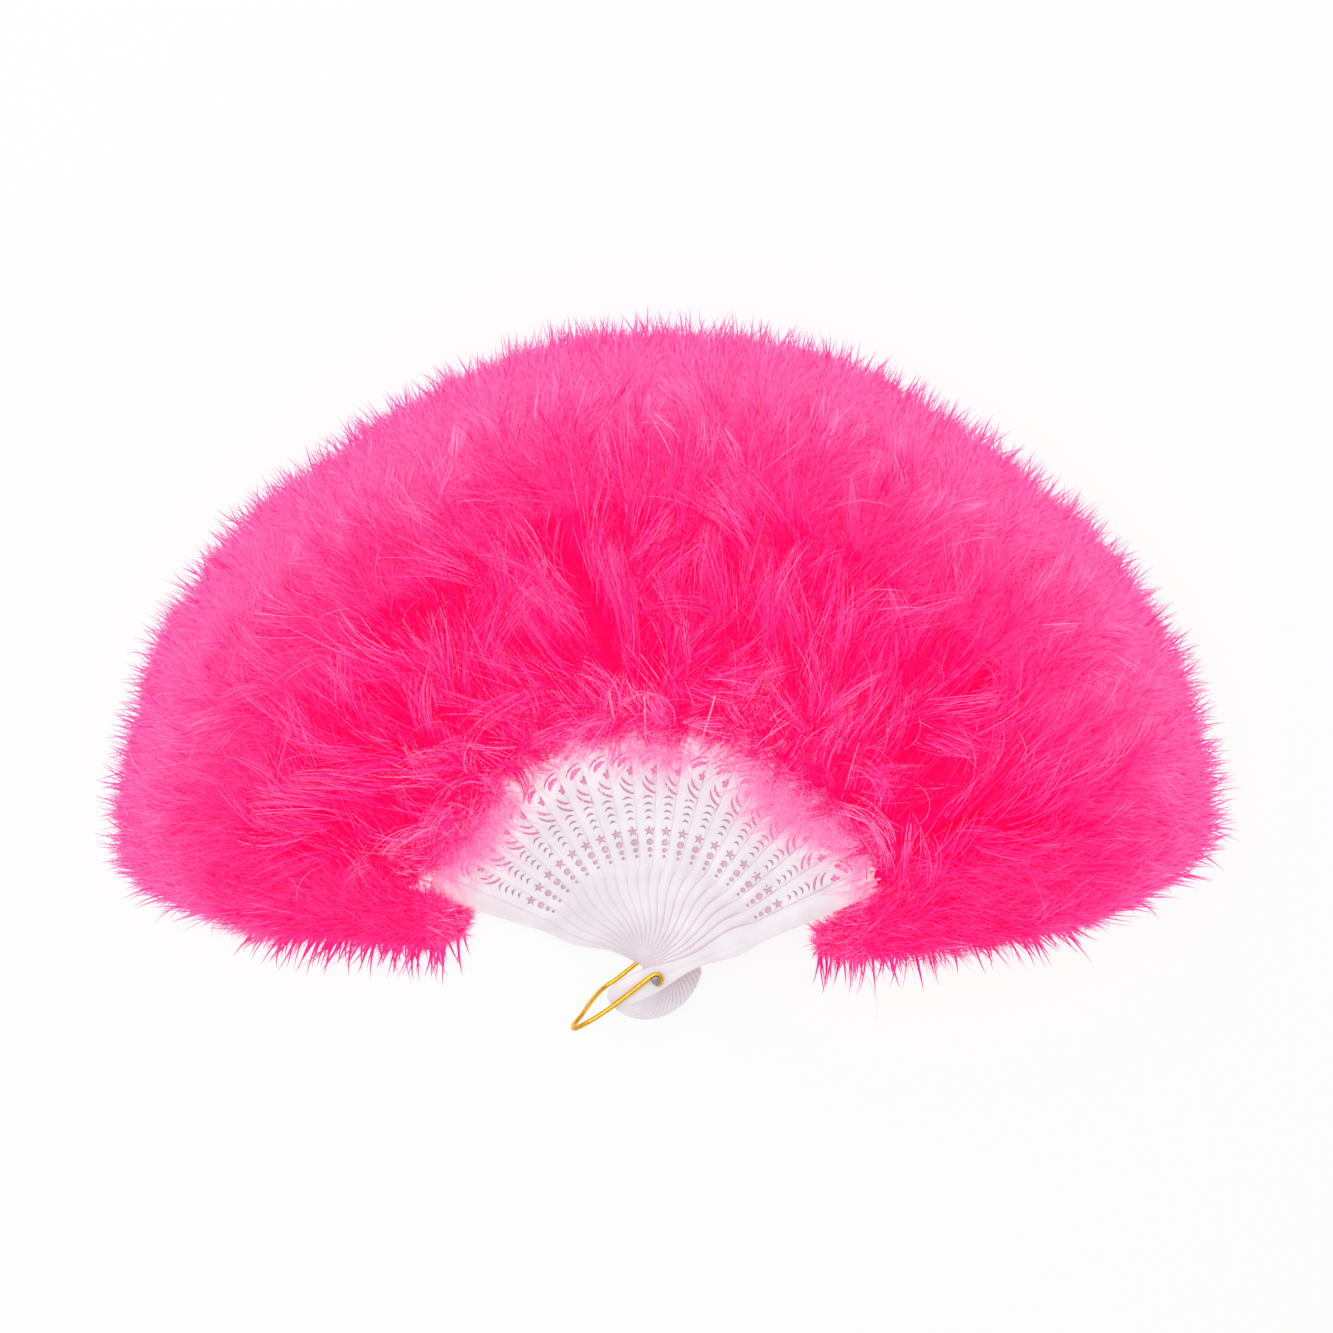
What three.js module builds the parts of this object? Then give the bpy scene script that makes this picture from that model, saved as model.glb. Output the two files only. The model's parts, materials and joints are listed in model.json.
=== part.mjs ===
// A folding feather hand fan, lying open on its back on a flat surface.
// Sizes are millimetres and angles are degrees. The rivet's axis is +Z, +Y runs from the rivet to the
// middle of the feathers, and +X runs to the front guard's side. The origin is on the rivet's axis, in
// the plane that the fan rests on. A stick's own frame has +X along the stick, away from the rivet.
import * as THREE from 'three';

// Spread of the open fan: the rear guard's direction from +X, and the turn from each stick to the next
const INNER_STICKS = 19;
const REAR_GUARD_ANGLE = 160.4;
const STICK_STEP = 6.8;

// The stack on the rivet, from the rear head upwards
const STICK_THICKNESS = 1.0;
const GUARD_THICKNESS = 1.6;
const SEAT_GAP = 0.3;

// Outline of a stick, given as distances from the rivet and half widths there
const HEAD_LENGTH = 22.5;
const HEAD_WIDEST_AT = -6;
const HEAD_HALF = 5.9;
const HEAD_ROUNDNESS = 2.5;
const NECK_AT = 18;
const NECK_HALF = 3.1;
const SWELL_AT = 38;
const SWELL_HALF = 5.9;
const WAIST_AT = 50;
const WAIST_HALF = 4.5;
const STICK_REACH = 105.5;
const STICK_TIP_HALF = 7.0;
const GUARD_TIP_HALF = 6.0;
const TIP_CORNER = 2.0;

// Rivet
const PIN_RADIUS = 0.9;
const PIN_CLEARANCE = 0.25;
const REAR_HEAD_OVERHANG = 1.7;
const FRONT_HEAD_OVERHANG = 1.0;
const RIVET_HEAD_HEIGHT = 1.0;

// Wire loop, in the plane through the rivet's axis at LOOP_ANGLE
const WIRE_DIAMETER = 2.1;
const LOOP_ANGLE = 212;
const LOOP_OPENING = 17;
const LOOP_TIP_BEND = 3.0;
const LOOP_SWEEP = 1.4;
const EYE_FREE_END = 55;
const EYE_LEG_END = 280;

// Pierced ornament of an inner stick, set out from the tip towards the rivet
const EDGE_WALL = 1.3;
const ROSETTE_FROM_TIP = 17;
const ROSETTE_EDGE = 2.7;
const FLOWER_RADIUS = 1.8;
const FLOWER_PETALS = 4;
const STROKE_WIDTH = 0.8;
const STROKE_STEP = 2.3;
const STROKE_FLARE = 1.15;
const UPPER_STROKE = { from: 64, to: -5 };
const LOWER_STROKE = { from: 117, to: 174 };
const CRESCENT_COUNT = 4;
const CRESCENT_FROM_ROSETTE = 12.8;
const CRESCENT_STEP = 3.1;
const CRESCENT_HALF = 2.0;
const CRESCENT_SHRINK = 0.22;
const CRESCENT_RISE = 1.1;
const CRESCENT_WIDTH = 0.85;
const STAR_FROM_CRESCENTS = 5.0;
const STAR_POINTS = 5;
const STAR_RADIUS = 2.5;
const STAR_CORE = 1.05;
const DOT_RADII = [1.5, 1.05, 0.7];
const DOT_SPACE = 0.9;

// Linking thread, which stops the sticks at the full spread
const THREAD_DIAMETER = 0.3;
const THREAD_HOLE_CLEARANCE = 0.65;
const THREAD_LAYER_CLEARANCE = 0.1;
const THREAD_FROM_TIP = 2.3;
const THREAD_SIDE = 3.5;
const KNOT_DIAMETER = 1.2;

// Feathers: a plume for each stick, glued to its tip
const CROWN_RADIUS = 281;
const REAR_CROWN_RADIUS = 251;
const FRONT_CROWN_RADIUS = 263;
const PLUME_RISE = 15;
const PLUME_TIP_GAP = 0.6;
const PLUME_SIDE_GAP = 0.3;
const REAR_PLUME_SPREAD = 18;
const FRONT_PLUME_SPREAD = 23;
const SPREAD_DROOP = 0.45;
const PLUME_ROOT_SHARE = 0.3;
const PLUME_SWELL_BY = 0.25;
const PLUME_ROUND_FROM = 0.8;
const PLUME_END_WIDTH = 0.7;
const PLUME_END_HEIGHT = 0.5;
const PLUME_SQUARENESS = 0.6;

// Facets
const PIN_SIDES = 16;
const HOLE_SIDES = 8;
const DOT_SIDES = 6;
const HEAD_FACETS = 4;
const EDGE_FACETS = 3;
const WIRE_SIDES = 8;
const WIRE_STEPS = 72;
const EYE_STEPS = 5;
const SWEEP_STEPS = 4;
const THREAD_SIDES = 5;
const PLUME_RINGS = 10;
const PLUME_SIDES = 12;

const radians = THREE.MathUtils.degToRad;
const lerp = THREE.MathUtils.lerp;

const layers = INNER_STICKS + 2;
const lastLayer = layers - 1;
const wireRadius = WIRE_DIAMETER / 2;
const holeRadius = PIN_RADIUS + PIN_CLEARANCE;
const threadHoleRadius = THREAD_DIAMETER / 2 + THREAD_HOLE_CLEARANCE;
const layerGap = THREAD_DIAMETER + 2 * THREAD_LAYER_CLEARANCE;
const rearWireHeight = RIVET_HEAD_HEIGHT + SEAT_GAP + wireRadius;
const rearGuardHeight = rearWireHeight + wireRadius + SEAT_GAP;
const firstStickHeight = rearGuardHeight + GUARD_THICKNESS + layerGap;
const frontGuardHeight = firstStickHeight + INNER_STICKS * (STICK_THICKNESS + layerGap);
const frontWireHeight = frontGuardHeight + GUARD_THICKNESS + SEAT_GAP + wireRadius;
const frontHeadHeight = frontWireHeight + wireRadius + SEAT_GAP;

const ivory = { color: 0xf3ebf1, roughness: 0.45, metalness: 0 };
const hotPink = { color: 0xff2a80, roughness: 0.9, metalness: 0 };
const gold = { color: 0xe8a415, roughness: 0.3, metalness: 1 };
const greyMetal = { color: 0x9a8c96, roughness: 0.4, metalness: 1 };
const whiteThread = { color: 0xf0e6ee, roughness: 0.8, metalness: 0 };

/** A named sub-part with a material of its own. */
function makeMesh(name, geometry, look) {
  const mesh = new THREE.Mesh(geometry, new THREE.MeshStandardMaterial(look));
  mesh.name = name;
  return mesh;
}

/** Direction of a layer's stick; layer 0 is the rear guard and the last is the front guard. */
function layerAngle(layer) {
  return REAR_GUARD_ANGLE - STICK_STEP * layer;
}

/** Height of the underside of a layer's stick. */
function layerHeight(layer) {
  if (layer === 0) return rearGuardHeight;
  if (layer === lastLayer) return frontGuardHeight;
  return firstStickHeight + (layer - 1) * (STICK_THICKNESS + layerGap);
}

/** Thickness of a layer's stick. */
function layerThickness(layer) {
  return layer === 0 || layer === lastLayer ? GUARD_THICKNESS : STICK_THICKNESS;
}

/** Half width of a stick at a distance from the rivet, outside its rounded head. */
function stickHalfWidth(distance, tipHalf) {
  const stations = [
    [HEAD_WIDEST_AT, HEAD_HALF],
    [NECK_AT, NECK_HALF],
    [SWELL_AT, SWELL_HALF],
    [WAIST_AT, WAIST_HALF],
  ];
  for (let i = 1; i < stations.length; i += 1) {
    const [from, halfFrom] = stations[i - 1];
    const [to, halfTo] = stations[i];
    if (distance < to) return lerp(halfFrom, halfTo, THREE.MathUtils.smoothstep(distance, from, to));
  }
  const blade = (distance - WAIST_AT) / (STICK_REACH - WAIST_AT);
  const half = lerp(WAIST_HALF, tipHalf, blade);
  const intoCorner = Math.max(0, distance - STICK_REACH + TIP_CORNER);
  return half - TIP_CORNER + Math.sqrt(TIP_CORNER ** 2 - Math.min(intoCorner, TIP_CORNER) ** 2);
}

/** Points of one long edge of a stick, from the end of its head to its tip. */
function stickEdge(tipHalf) {
  const edge = [];
  for (let i = 0; i < HEAD_FACETS; i += 1) {
    const share = Math.cos((i / HEAD_FACETS) * (Math.PI / 2));
    const half = HEAD_HALF * (1 - share ** HEAD_ROUNDNESS) ** (1 / HEAD_ROUNDNESS);
    edge.push(new THREE.Vector2(lerp(HEAD_WIDEST_AT, -HEAD_LENGTH, share), half));
  }
  const marks = [HEAD_WIDEST_AT, NECK_AT, SWELL_AT, WAIST_AT, STICK_REACH - TIP_CORNER];
  for (let i = 1; i < marks.length; i += 1) {
    for (let k = 0; k < EDGE_FACETS; k += 1) {
      const distance = lerp(marks[i - 1], marks[i], k / EDGE_FACETS);
      edge.push(new THREE.Vector2(distance, stickHalfWidth(distance, tipHalf)));
    }
  }
  for (const share of [0, Math.SQRT1_2, 1]) {
    const distance = STICK_REACH - TIP_CORNER * (1 - share);
    edge.push(new THREE.Vector2(distance, stickHalfWidth(distance, tipHalf)));
  }
  return edge;
}

/** A many-sided hole, with its corners at the given radii in turn. */
function polygonHole(x, y, radii, sides) {
  const points = [];
  for (let i = 0; i < sides; i += 1) {
    const angle = (i / sides) * 2 * Math.PI;
    const radius = radii[i % radii.length];
    points.push(new THREE.Vector2(x + radius * Math.cos(angle), y + radius * Math.sin(angle)));
  }
  return new THREE.Path(points);
}

/** A crescent that bows away from the rivet, pointed at both ends. */
function crescentHole(x, half) {
  const bow = (y) => CRESCENT_RISE * (1 - (y / half) ** 2);
  const inner = half / 3;
  return new THREE.Path([
    new THREE.Vector2(x, -half),
    new THREE.Vector2(x + bow(inner), -inner),
    new THREE.Vector2(x + bow(inner), inner),
    new THREE.Vector2(x, half),
    new THREE.Vector2(x + CRESCENT_RISE - CRESCENT_WIDTH, 0),
  ]);
}

/** A curved stroke of the rosette, between two angles about its centre and a radius at each. */
function strokeHole(centre, angles, fromRadius, toRadius) {
  const at = (share, shift) => {
    const angle = radians(lerp(angles.from, angles.to, share));
    const radius = lerp(fromRadius, toRadius, share) + shift;
    return new THREE.Vector2(centre.x + radius * Math.cos(angle), centre.y + radius * Math.sin(angle));
  };
  const half = STROKE_WIDTH / 2;
  return new THREE.Path([at(0, 0), at(1 / 3, half), at(2 / 3, half), at(1, 0), at(1 / 2, -half)]);
}

/** All the piercings of an inner stick's blade. */
function ornamentHoles() {
  const rosetteAt = STICK_REACH - ROSETTE_FROM_TIP;
  const bladeHalf = stickHalfWidth(rosetteAt, STICK_TIP_HALF);
  const centre = new THREE.Vector2(rosetteAt, ROSETTE_EDGE - bladeHalf);
  const outer = 2 * bladeHalf - ROSETTE_EDGE - EDGE_WALL;
  const inner = outer - STROKE_STEP;
  const holes = [
    polygonHole(centre.x, centre.y, [FLOWER_RADIUS, FLOWER_RADIUS / 2], 2 * FLOWER_PETALS),
    strokeHole(centre, UPPER_STROKE, outer, outer),
    strokeHole(centre, UPPER_STROKE, inner, inner),
    strokeHole(centre, LOWER_STROKE, inner, inner),
    strokeHole(centre, LOWER_STROKE, outer, outer + STROKE_FLARE),
  ];
  for (let i = 0; i < CRESCENT_COUNT; i += 1) {
    const x = rosetteAt - CRESCENT_FROM_ROSETTE - i * CRESCENT_STEP;
    holes.push(crescentHole(x, CRESCENT_HALF - i * CRESCENT_SHRINK));
  }
  const innerCrescent = rosetteAt - CRESCENT_FROM_ROSETTE - (CRESCENT_COUNT - 1) * CRESCENT_STEP;
  let x = innerCrescent - STAR_FROM_CRESCENTS;
  holes.push(polygonHole(x, 0, [STAR_RADIUS, STAR_CORE], 2 * STAR_POINTS));
  x -= STAR_RADIUS;
  for (const radius of DOT_RADII) {
    x -= radius + DOT_SPACE;
    holes.push(polygonHole(x, 0, [radius], DOT_SIDES));
    x -= radius;
  }
  return holes;
}

/** A stick or guard: a flat blade on the rivet, with the thread's hole near its tip. */
function stickGeometry(tipHalf, thickness, ornament) {
  const left = stickEdge(tipHalf);
  const right = left.slice(1).map((point) => new THREE.Vector2(point.x, -point.y));
  const outline = new THREE.Shape([...right, ...left.reverse()]);
  outline.holes.push(
    polygonHole(0, 0, [holeRadius], HOLE_SIDES),
    polygonHole(STICK_REACH - THREAD_FROM_TIP, THREAD_SIDE, [threadHoleRadius], DOT_SIDES),
    ...ornament,
  );
  return new THREE.ExtrudeGeometry(outline, { depth: thickness, bevelEnabled: false });
}

/** A closed solid over rings of points, each ring in the same sense about the line through them. */
function loftGeometry(rings) {
  const count = rings[0].length;
  const positions = rings.flat().flatMap((point) => point.toArray());
  const faces = [];
  for (let i = 0; i + 1 < rings.length; i += 1) {
    for (let k = 0; k < count; k += 1) {
      const a = i * count + k;
      const b = i * count + ((k + 1) % count);
      faces.push(a, b, b + count, a, b + count, a + count);
    }
  }
  const last = (rings.length - 1) * count;
  for (let k = 1; k + 1 < count; k += 1) {
    faces.push(0, k + 1, k, last, last + k, last + k + 1);
  }
  const geometry = new THREE.BufferGeometry();
  geometry.setAttribute('position', new THREE.Float32BufferAttribute(positions, 3));
  geometry.setIndex(faces);
  return geometry;
}

/** How far the crown of feathers reaches from the rivet in a layer's direction. */
function crownReach(layer) {
  const fromMiddle = (2 * layer) / lastLayer - 1;
  const endRadius = fromMiddle < 0 ? REAR_CROWN_RADIUS : FRONT_CROWN_RADIUS;
  return lerp(CROWN_RADIUS, endRadius, fromMiddle ** 2);
}

/** A plume in its stick's frame: it swells above the stick, and sags to the resting plane below. */
function plumeGeometry(layer) {
  const half = STICK_STEP / 2;
  const spreadLow = layer === lastLayer ? FRONT_PLUME_SPREAD : half;
  const spreadHigh = layer === 0 ? REAR_PLUME_SPREAD : half;
  const start = (STICK_REACH + PLUME_TIP_GAP) / Math.cos(radians(spreadLow + spreadHigh) / 2);
  const height = layerHeight(layer) + layerThickness(layer) / 2;
  const rings = [];
  for (let i = 0; i < PLUME_RINGS; i += 1) {
    const along = (1 - Math.cos((i / (PLUME_RINGS - 1)) * Math.PI)) / 2;
    const radius = lerp(start, crownReach(layer), along);
    const rounding = Math.max(0, along - PLUME_ROUND_FROM) / (1 - PLUME_ROUND_FROM);
    const width = lerp(1, PLUME_END_WIDTH, rounding ** 2);
    const swell = lerp(PLUME_ROOT_SHARE, 1, THREE.MathUtils.smoothstep(along, 0, PLUME_SWELL_BY));
    const fullness = swell * lerp(1, PLUME_END_HEIGHT, rounding ** 2);
    const droop = 1 - SPREAD_DROOP * along ** 2;
    const sideGap = THREE.MathUtils.radToDeg(PLUME_SIDE_GAP / radius);
    const low = width * (spreadLow === half ? half - sideGap : spreadLow * droop);
    const high = width * (spreadHigh === half ? half - sideGap : spreadHigh * droop);
    rings.push(plumeRing(radius, -low, high, height * (1 - fullness), height + PLUME_RISE * fullness));
  }
  return loftGeometry(rings);
}

/** A rounded section across a plume, flat below, between two angles and two heights. */
function plumeRing(radius, low, high, bottom, top) {
  const flat = Math.cos(Math.PI / PLUME_SIDES) ** PLUME_SQUARENESS;
  const squared = (value) => (Math.sign(value) * Math.abs(value) ** PLUME_SQUARENESS) / flat;
  const ring = [];
  for (let k = 0; k < PLUME_SIDES; k += 1) {
    const turn = ((k + 0.5) / PLUME_SIDES) * 2 * Math.PI;
    const angle = radians(lerp(low, high, (1 + squared(Math.cos(turn))) / 2));
    const z = lerp(bottom, top, (1 + squared(Math.sin(turn))) / 2);
    ring.push(new THREE.Vector3(radius * Math.cos(angle), radius * Math.sin(angle), z));
  }
  return ring;
}

/** The rivet: a pin with a flat rear head and a domed front head. */
function rivetGeometry() {
  const edge = RIVET_HEAD_HEIGHT / 2;
  const rear = PIN_RADIUS + REAR_HEAD_OVERHANG;
  const front = PIN_RADIUS + FRONT_HEAD_OVERHANG;
  const profile = [
    [0, 0],
    [rear, 0],
    [rear, edge],
    [rear - edge, RIVET_HEAD_HEIGHT],
    [PIN_RADIUS, RIVET_HEAD_HEIGHT],
    [PIN_RADIUS, frontHeadHeight],
    [front, frontHeadHeight],
    [front, frontHeadHeight + edge],
    [front - edge, frontHeadHeight + RIVET_HEAD_HEIGHT],
    [0, frontHeadHeight + RIVET_HEAD_HEIGHT],
  ].map(([radius, height]) => new THREE.Vector2(radius, height));
  return new THREE.LatheGeometry(profile, PIN_SIDES).rotateX(Math.PI / 2);
}

/** Points of an eye round the pin, from its free end to where the leg leaves it towards +X. */
function eyePoints(height) {
  const radius = holeRadius + wireRadius;
  const points = [];
  for (let i = 0; i <= EYE_STEPS; i += 1) {
    const turn = radians(lerp(EYE_FREE_END, EYE_LEG_END, i / EYE_STEPS));
    points.push(new THREE.Vector3(radius * Math.cos(turn), radius * Math.sin(turn), height));
  }
  return points;
}

/** The wire loop: an eye above the stack, one leg out to the tip, and back below the stack. */
function loopGeometry() {
  const legEnd = HEAD_LENGTH + WIRE_DIAMETER;
  const reach = legEnd + LOOP_OPENING;
  const tipHeight = frontWireHeight - LOOP_TIP_BEND;
  const points = eyePoints(frontWireHeight);
  points.push(new THREE.Vector3(legEnd, 0, frontWireHeight));
  points.push(new THREE.Vector3(reach - 2 * LOOP_TIP_BEND, 0, frontWireHeight));
  for (let i = SWEEP_STEPS; i >= 0; i -= 1) {
    const share = i / SWEEP_STEPS;
    const height = lerp(rearWireHeight, tipHeight, share ** LOOP_SWEEP);
    points.push(new THREE.Vector3(lerp(legEnd, reach, share), 0, height));
  }
  points.push(...eyePoints(rearWireHeight).reverse());
  const section = new THREE.Shape(polygonHole(0, 0, [wireRadius], WIRE_SIDES).getPoints());
  const extrudePath = new THREE.CatmullRomCurve3(points);
  return new THREE.ExtrudeGeometry(section, { steps: WIRE_STEPS, bevelEnabled: false, extrudePath });
}

/** The thread, which rises through each stick's hole and runs in the gap to the next stick. */
function threadGeometry() {
  const holeAt = STICK_REACH - THREAD_FROM_TIP;
  const radius = Math.hypot(holeAt, THREAD_SIDE);
  const lean = Math.atan2(THREAD_SIDE, holeAt);
  const climb = (threadHoleRadius - THREAD_DIAMETER) / radius;
  const route = [];
  for (let layer = 0; layer < layers; layer += 1) {
    const angle = radians(layerAngle(layer)) + lean;
    const below = layerHeight(layer) - layerGap / 2;
    const above = layerHeight(layer) + layerThickness(layer) + layerGap / 2;
    route.push({ angle: angle + climb, height: below }, { angle: angle - climb, height: above });
  }
  const knotLength = KNOT_DIAMETER / radius;
  const first = route[0];
  const last = route[route.length - 1];
  route.unshift({ angle: first.angle + knotLength, height: first.height - KNOT_DIAMETER / 2 });
  route.push({ angle: last.angle - knotLength, height: last.height + KNOT_DIAMETER / 2 });
  const points = route.map(({ angle, height }) => {
    return new THREE.Vector3(radius * Math.cos(angle), radius * Math.sin(angle), height);
  });
  const rings = points.map((point, i) => {
    const ahead = points[Math.min(i + 1, points.length - 1)];
    const behind = points[Math.max(i - 1, 0)];
    const along = ahead.clone().sub(behind).normalize();
    const outward = new THREE.Vector3(point.x, point.y, 0).normalize();
    const across = along.clone().cross(outward);
    const atEnd = i === 0 || i === points.length - 1;
    const size = (atEnd ? KNOT_DIAMETER : THREAD_DIAMETER) / 2;
    return Array.from({ length: THREAD_SIDES }, (_, k) => {
      const turn = (k / THREAD_SIDES) * 2 * Math.PI;
      const corner = point.clone().addScaledVector(outward, size * Math.cos(turn));
      return corner.addScaledVector(across, size * Math.sin(turn));
    });
  });
  return loftGeometry(rings);
}

/** Name of a layer's stick or plume, such as guard_front, stick_07 or plume_rear. */
function layerName(kind, layer) {
  if (layer === 0) return `${kind}_rear`;
  if (layer === lastLayer) return `${kind}_front`;
  return `${kind}_${String(layer).padStart(2, '0')}`;
}

const fan = new THREE.Group();
const ornament = ornamentHoles();
for (let layer = 0; layer < layers; layer += 1) {
  const isGuard = layer === 0 || layer === lastLayer;
  const tipHalf = isGuard ? GUARD_TIP_HALF : STICK_TIP_HALF;
  const blade = stickGeometry(tipHalf, layerThickness(layer), isGuard ? [] : ornament);
  const stick = makeMesh(layerName(isGuard ? 'guard' : 'stick', layer), blade, ivory);
  stick.position.z = layerHeight(layer);
  const plume = makeMesh(layerName('plume', layer), plumeGeometry(layer), hotPink);
  const arm = new THREE.Group();
  arm.rotation.z = radians(layerAngle(layer));
  arm.add(stick, plume);
  fan.add(arm);
}

const loop = makeMesh('wire_loop', loopGeometry(), gold);
loop.rotation.z = radians(LOOP_ANGLE);
fan.add(makeMesh('rivet', rivetGeometry(), greyMetal), loop);
fan.add(makeMesh('linking_thread', threadGeometry(), whiteThread));

export default fan;
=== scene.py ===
"""A folding feather hand fan that lies open on a pale floor, seen from above.

Lengths are metres and angles are degrees. The rivet's axis is +Z. A stick's own frame has +X along the stick,
away from the rivet, and +Y to its left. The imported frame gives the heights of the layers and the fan's spread.
"""
import json
import logging
import math
from collections.abc import Iterable, Mapping, Sequence
from dataclasses import dataclass
from enum import Enum
from typing import Any

import bpy
import numpy as np
from mathutils import Euler, Matrix, Vector

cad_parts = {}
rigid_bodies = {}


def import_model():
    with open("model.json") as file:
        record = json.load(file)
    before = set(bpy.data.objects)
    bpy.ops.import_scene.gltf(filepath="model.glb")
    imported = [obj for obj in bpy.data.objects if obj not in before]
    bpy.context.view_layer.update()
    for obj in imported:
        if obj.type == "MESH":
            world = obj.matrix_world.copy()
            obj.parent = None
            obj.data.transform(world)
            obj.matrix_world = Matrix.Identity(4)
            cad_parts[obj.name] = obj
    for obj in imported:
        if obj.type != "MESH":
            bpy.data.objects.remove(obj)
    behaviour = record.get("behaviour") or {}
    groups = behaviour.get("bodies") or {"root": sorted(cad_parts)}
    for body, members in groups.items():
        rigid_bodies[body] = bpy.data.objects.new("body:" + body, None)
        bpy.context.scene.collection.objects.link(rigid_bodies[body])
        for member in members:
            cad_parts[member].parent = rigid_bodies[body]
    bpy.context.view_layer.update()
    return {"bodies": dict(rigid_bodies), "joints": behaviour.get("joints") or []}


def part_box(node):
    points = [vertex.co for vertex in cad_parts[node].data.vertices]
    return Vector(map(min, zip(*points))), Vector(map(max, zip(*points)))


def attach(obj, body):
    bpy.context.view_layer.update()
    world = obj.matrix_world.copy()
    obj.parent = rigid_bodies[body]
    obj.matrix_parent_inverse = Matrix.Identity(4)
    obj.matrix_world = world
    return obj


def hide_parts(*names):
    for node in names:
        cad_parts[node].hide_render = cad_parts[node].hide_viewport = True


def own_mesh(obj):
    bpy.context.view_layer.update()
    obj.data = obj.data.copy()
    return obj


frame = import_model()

LOG = logging.getLogger("feather_fan")
BARB_MAP = "barb"
KEPT_MAP = "OFBake"
BUMP_DISTANCE = 0.0001

Pair = tuple[float, float]
Triple = tuple[float, float, float]
Loop = list[Pair]
Stops = tuple[tuple[float, str], ...]


def tint(code: str) -> tuple[float, float, float, float]:
    """Turns a screen colour into the linear values that shaders take.

    Args:
        code: Six hexadecimal digits.

    Returns:
        Linear red, green and blue, and full alpha.
    """
    parts = [int(code[i : i + 2], 16) / 255 for i in (0, 2, 4)]
    red, green, blue = (c / 12.92 if c <= 0.04045 else ((c + 0.055) / 1.055) ** 2.4 for c in parts)
    return red, green, blue, 1.0


def blend(start: float, end: float, share: float) -> float:
    """Returns the value that lies a share of the way from start to end."""
    return start + (end - start) * share


def ease(low: float, high: float, value: Any) -> Any:
    """Returns a smooth step from 0 at low to 1 at high, for a number or an array."""
    share = np.clip((value - low) / (high - low), 0.0, 1.0)
    return share * share * (3 - 2 * share)


class Value:
    """A shader socket that takes part in Python arithmetic."""

    def __init__(self, tree: "Shader", socket: bpy.types.NodeSocket) -> None:
        """Keeps the socket and the material that it belongs to."""
        self.tree = tree
        self.socket = socket

    def _math(self, operation: str, first: Any, second: Any) -> "Value":
        """Adds one Math node and returns its result."""
        node = self.tree.add("ShaderNodeMath", {"operation": operation}, {0: first, 1: second})
        return Value(self.tree, node.outputs[0])

    def __add__(self, other: Any) -> "Value":
        """Returns the sum."""
        return self._math("ADD", self, other)

    def __sub__(self, other: Any) -> "Value":
        """Returns the difference."""
        return self._math("SUBTRACT", self, other)

    def __rsub__(self, other: Any) -> "Value":
        """Returns the difference with this value taken away."""
        return self._math("SUBTRACT", other, self)

    def __mul__(self, other: Any) -> "Value":
        """Returns the product."""
        return self._math("MULTIPLY", self, other)

    __radd__ = __add__
    __rmul__ = __mul__


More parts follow.
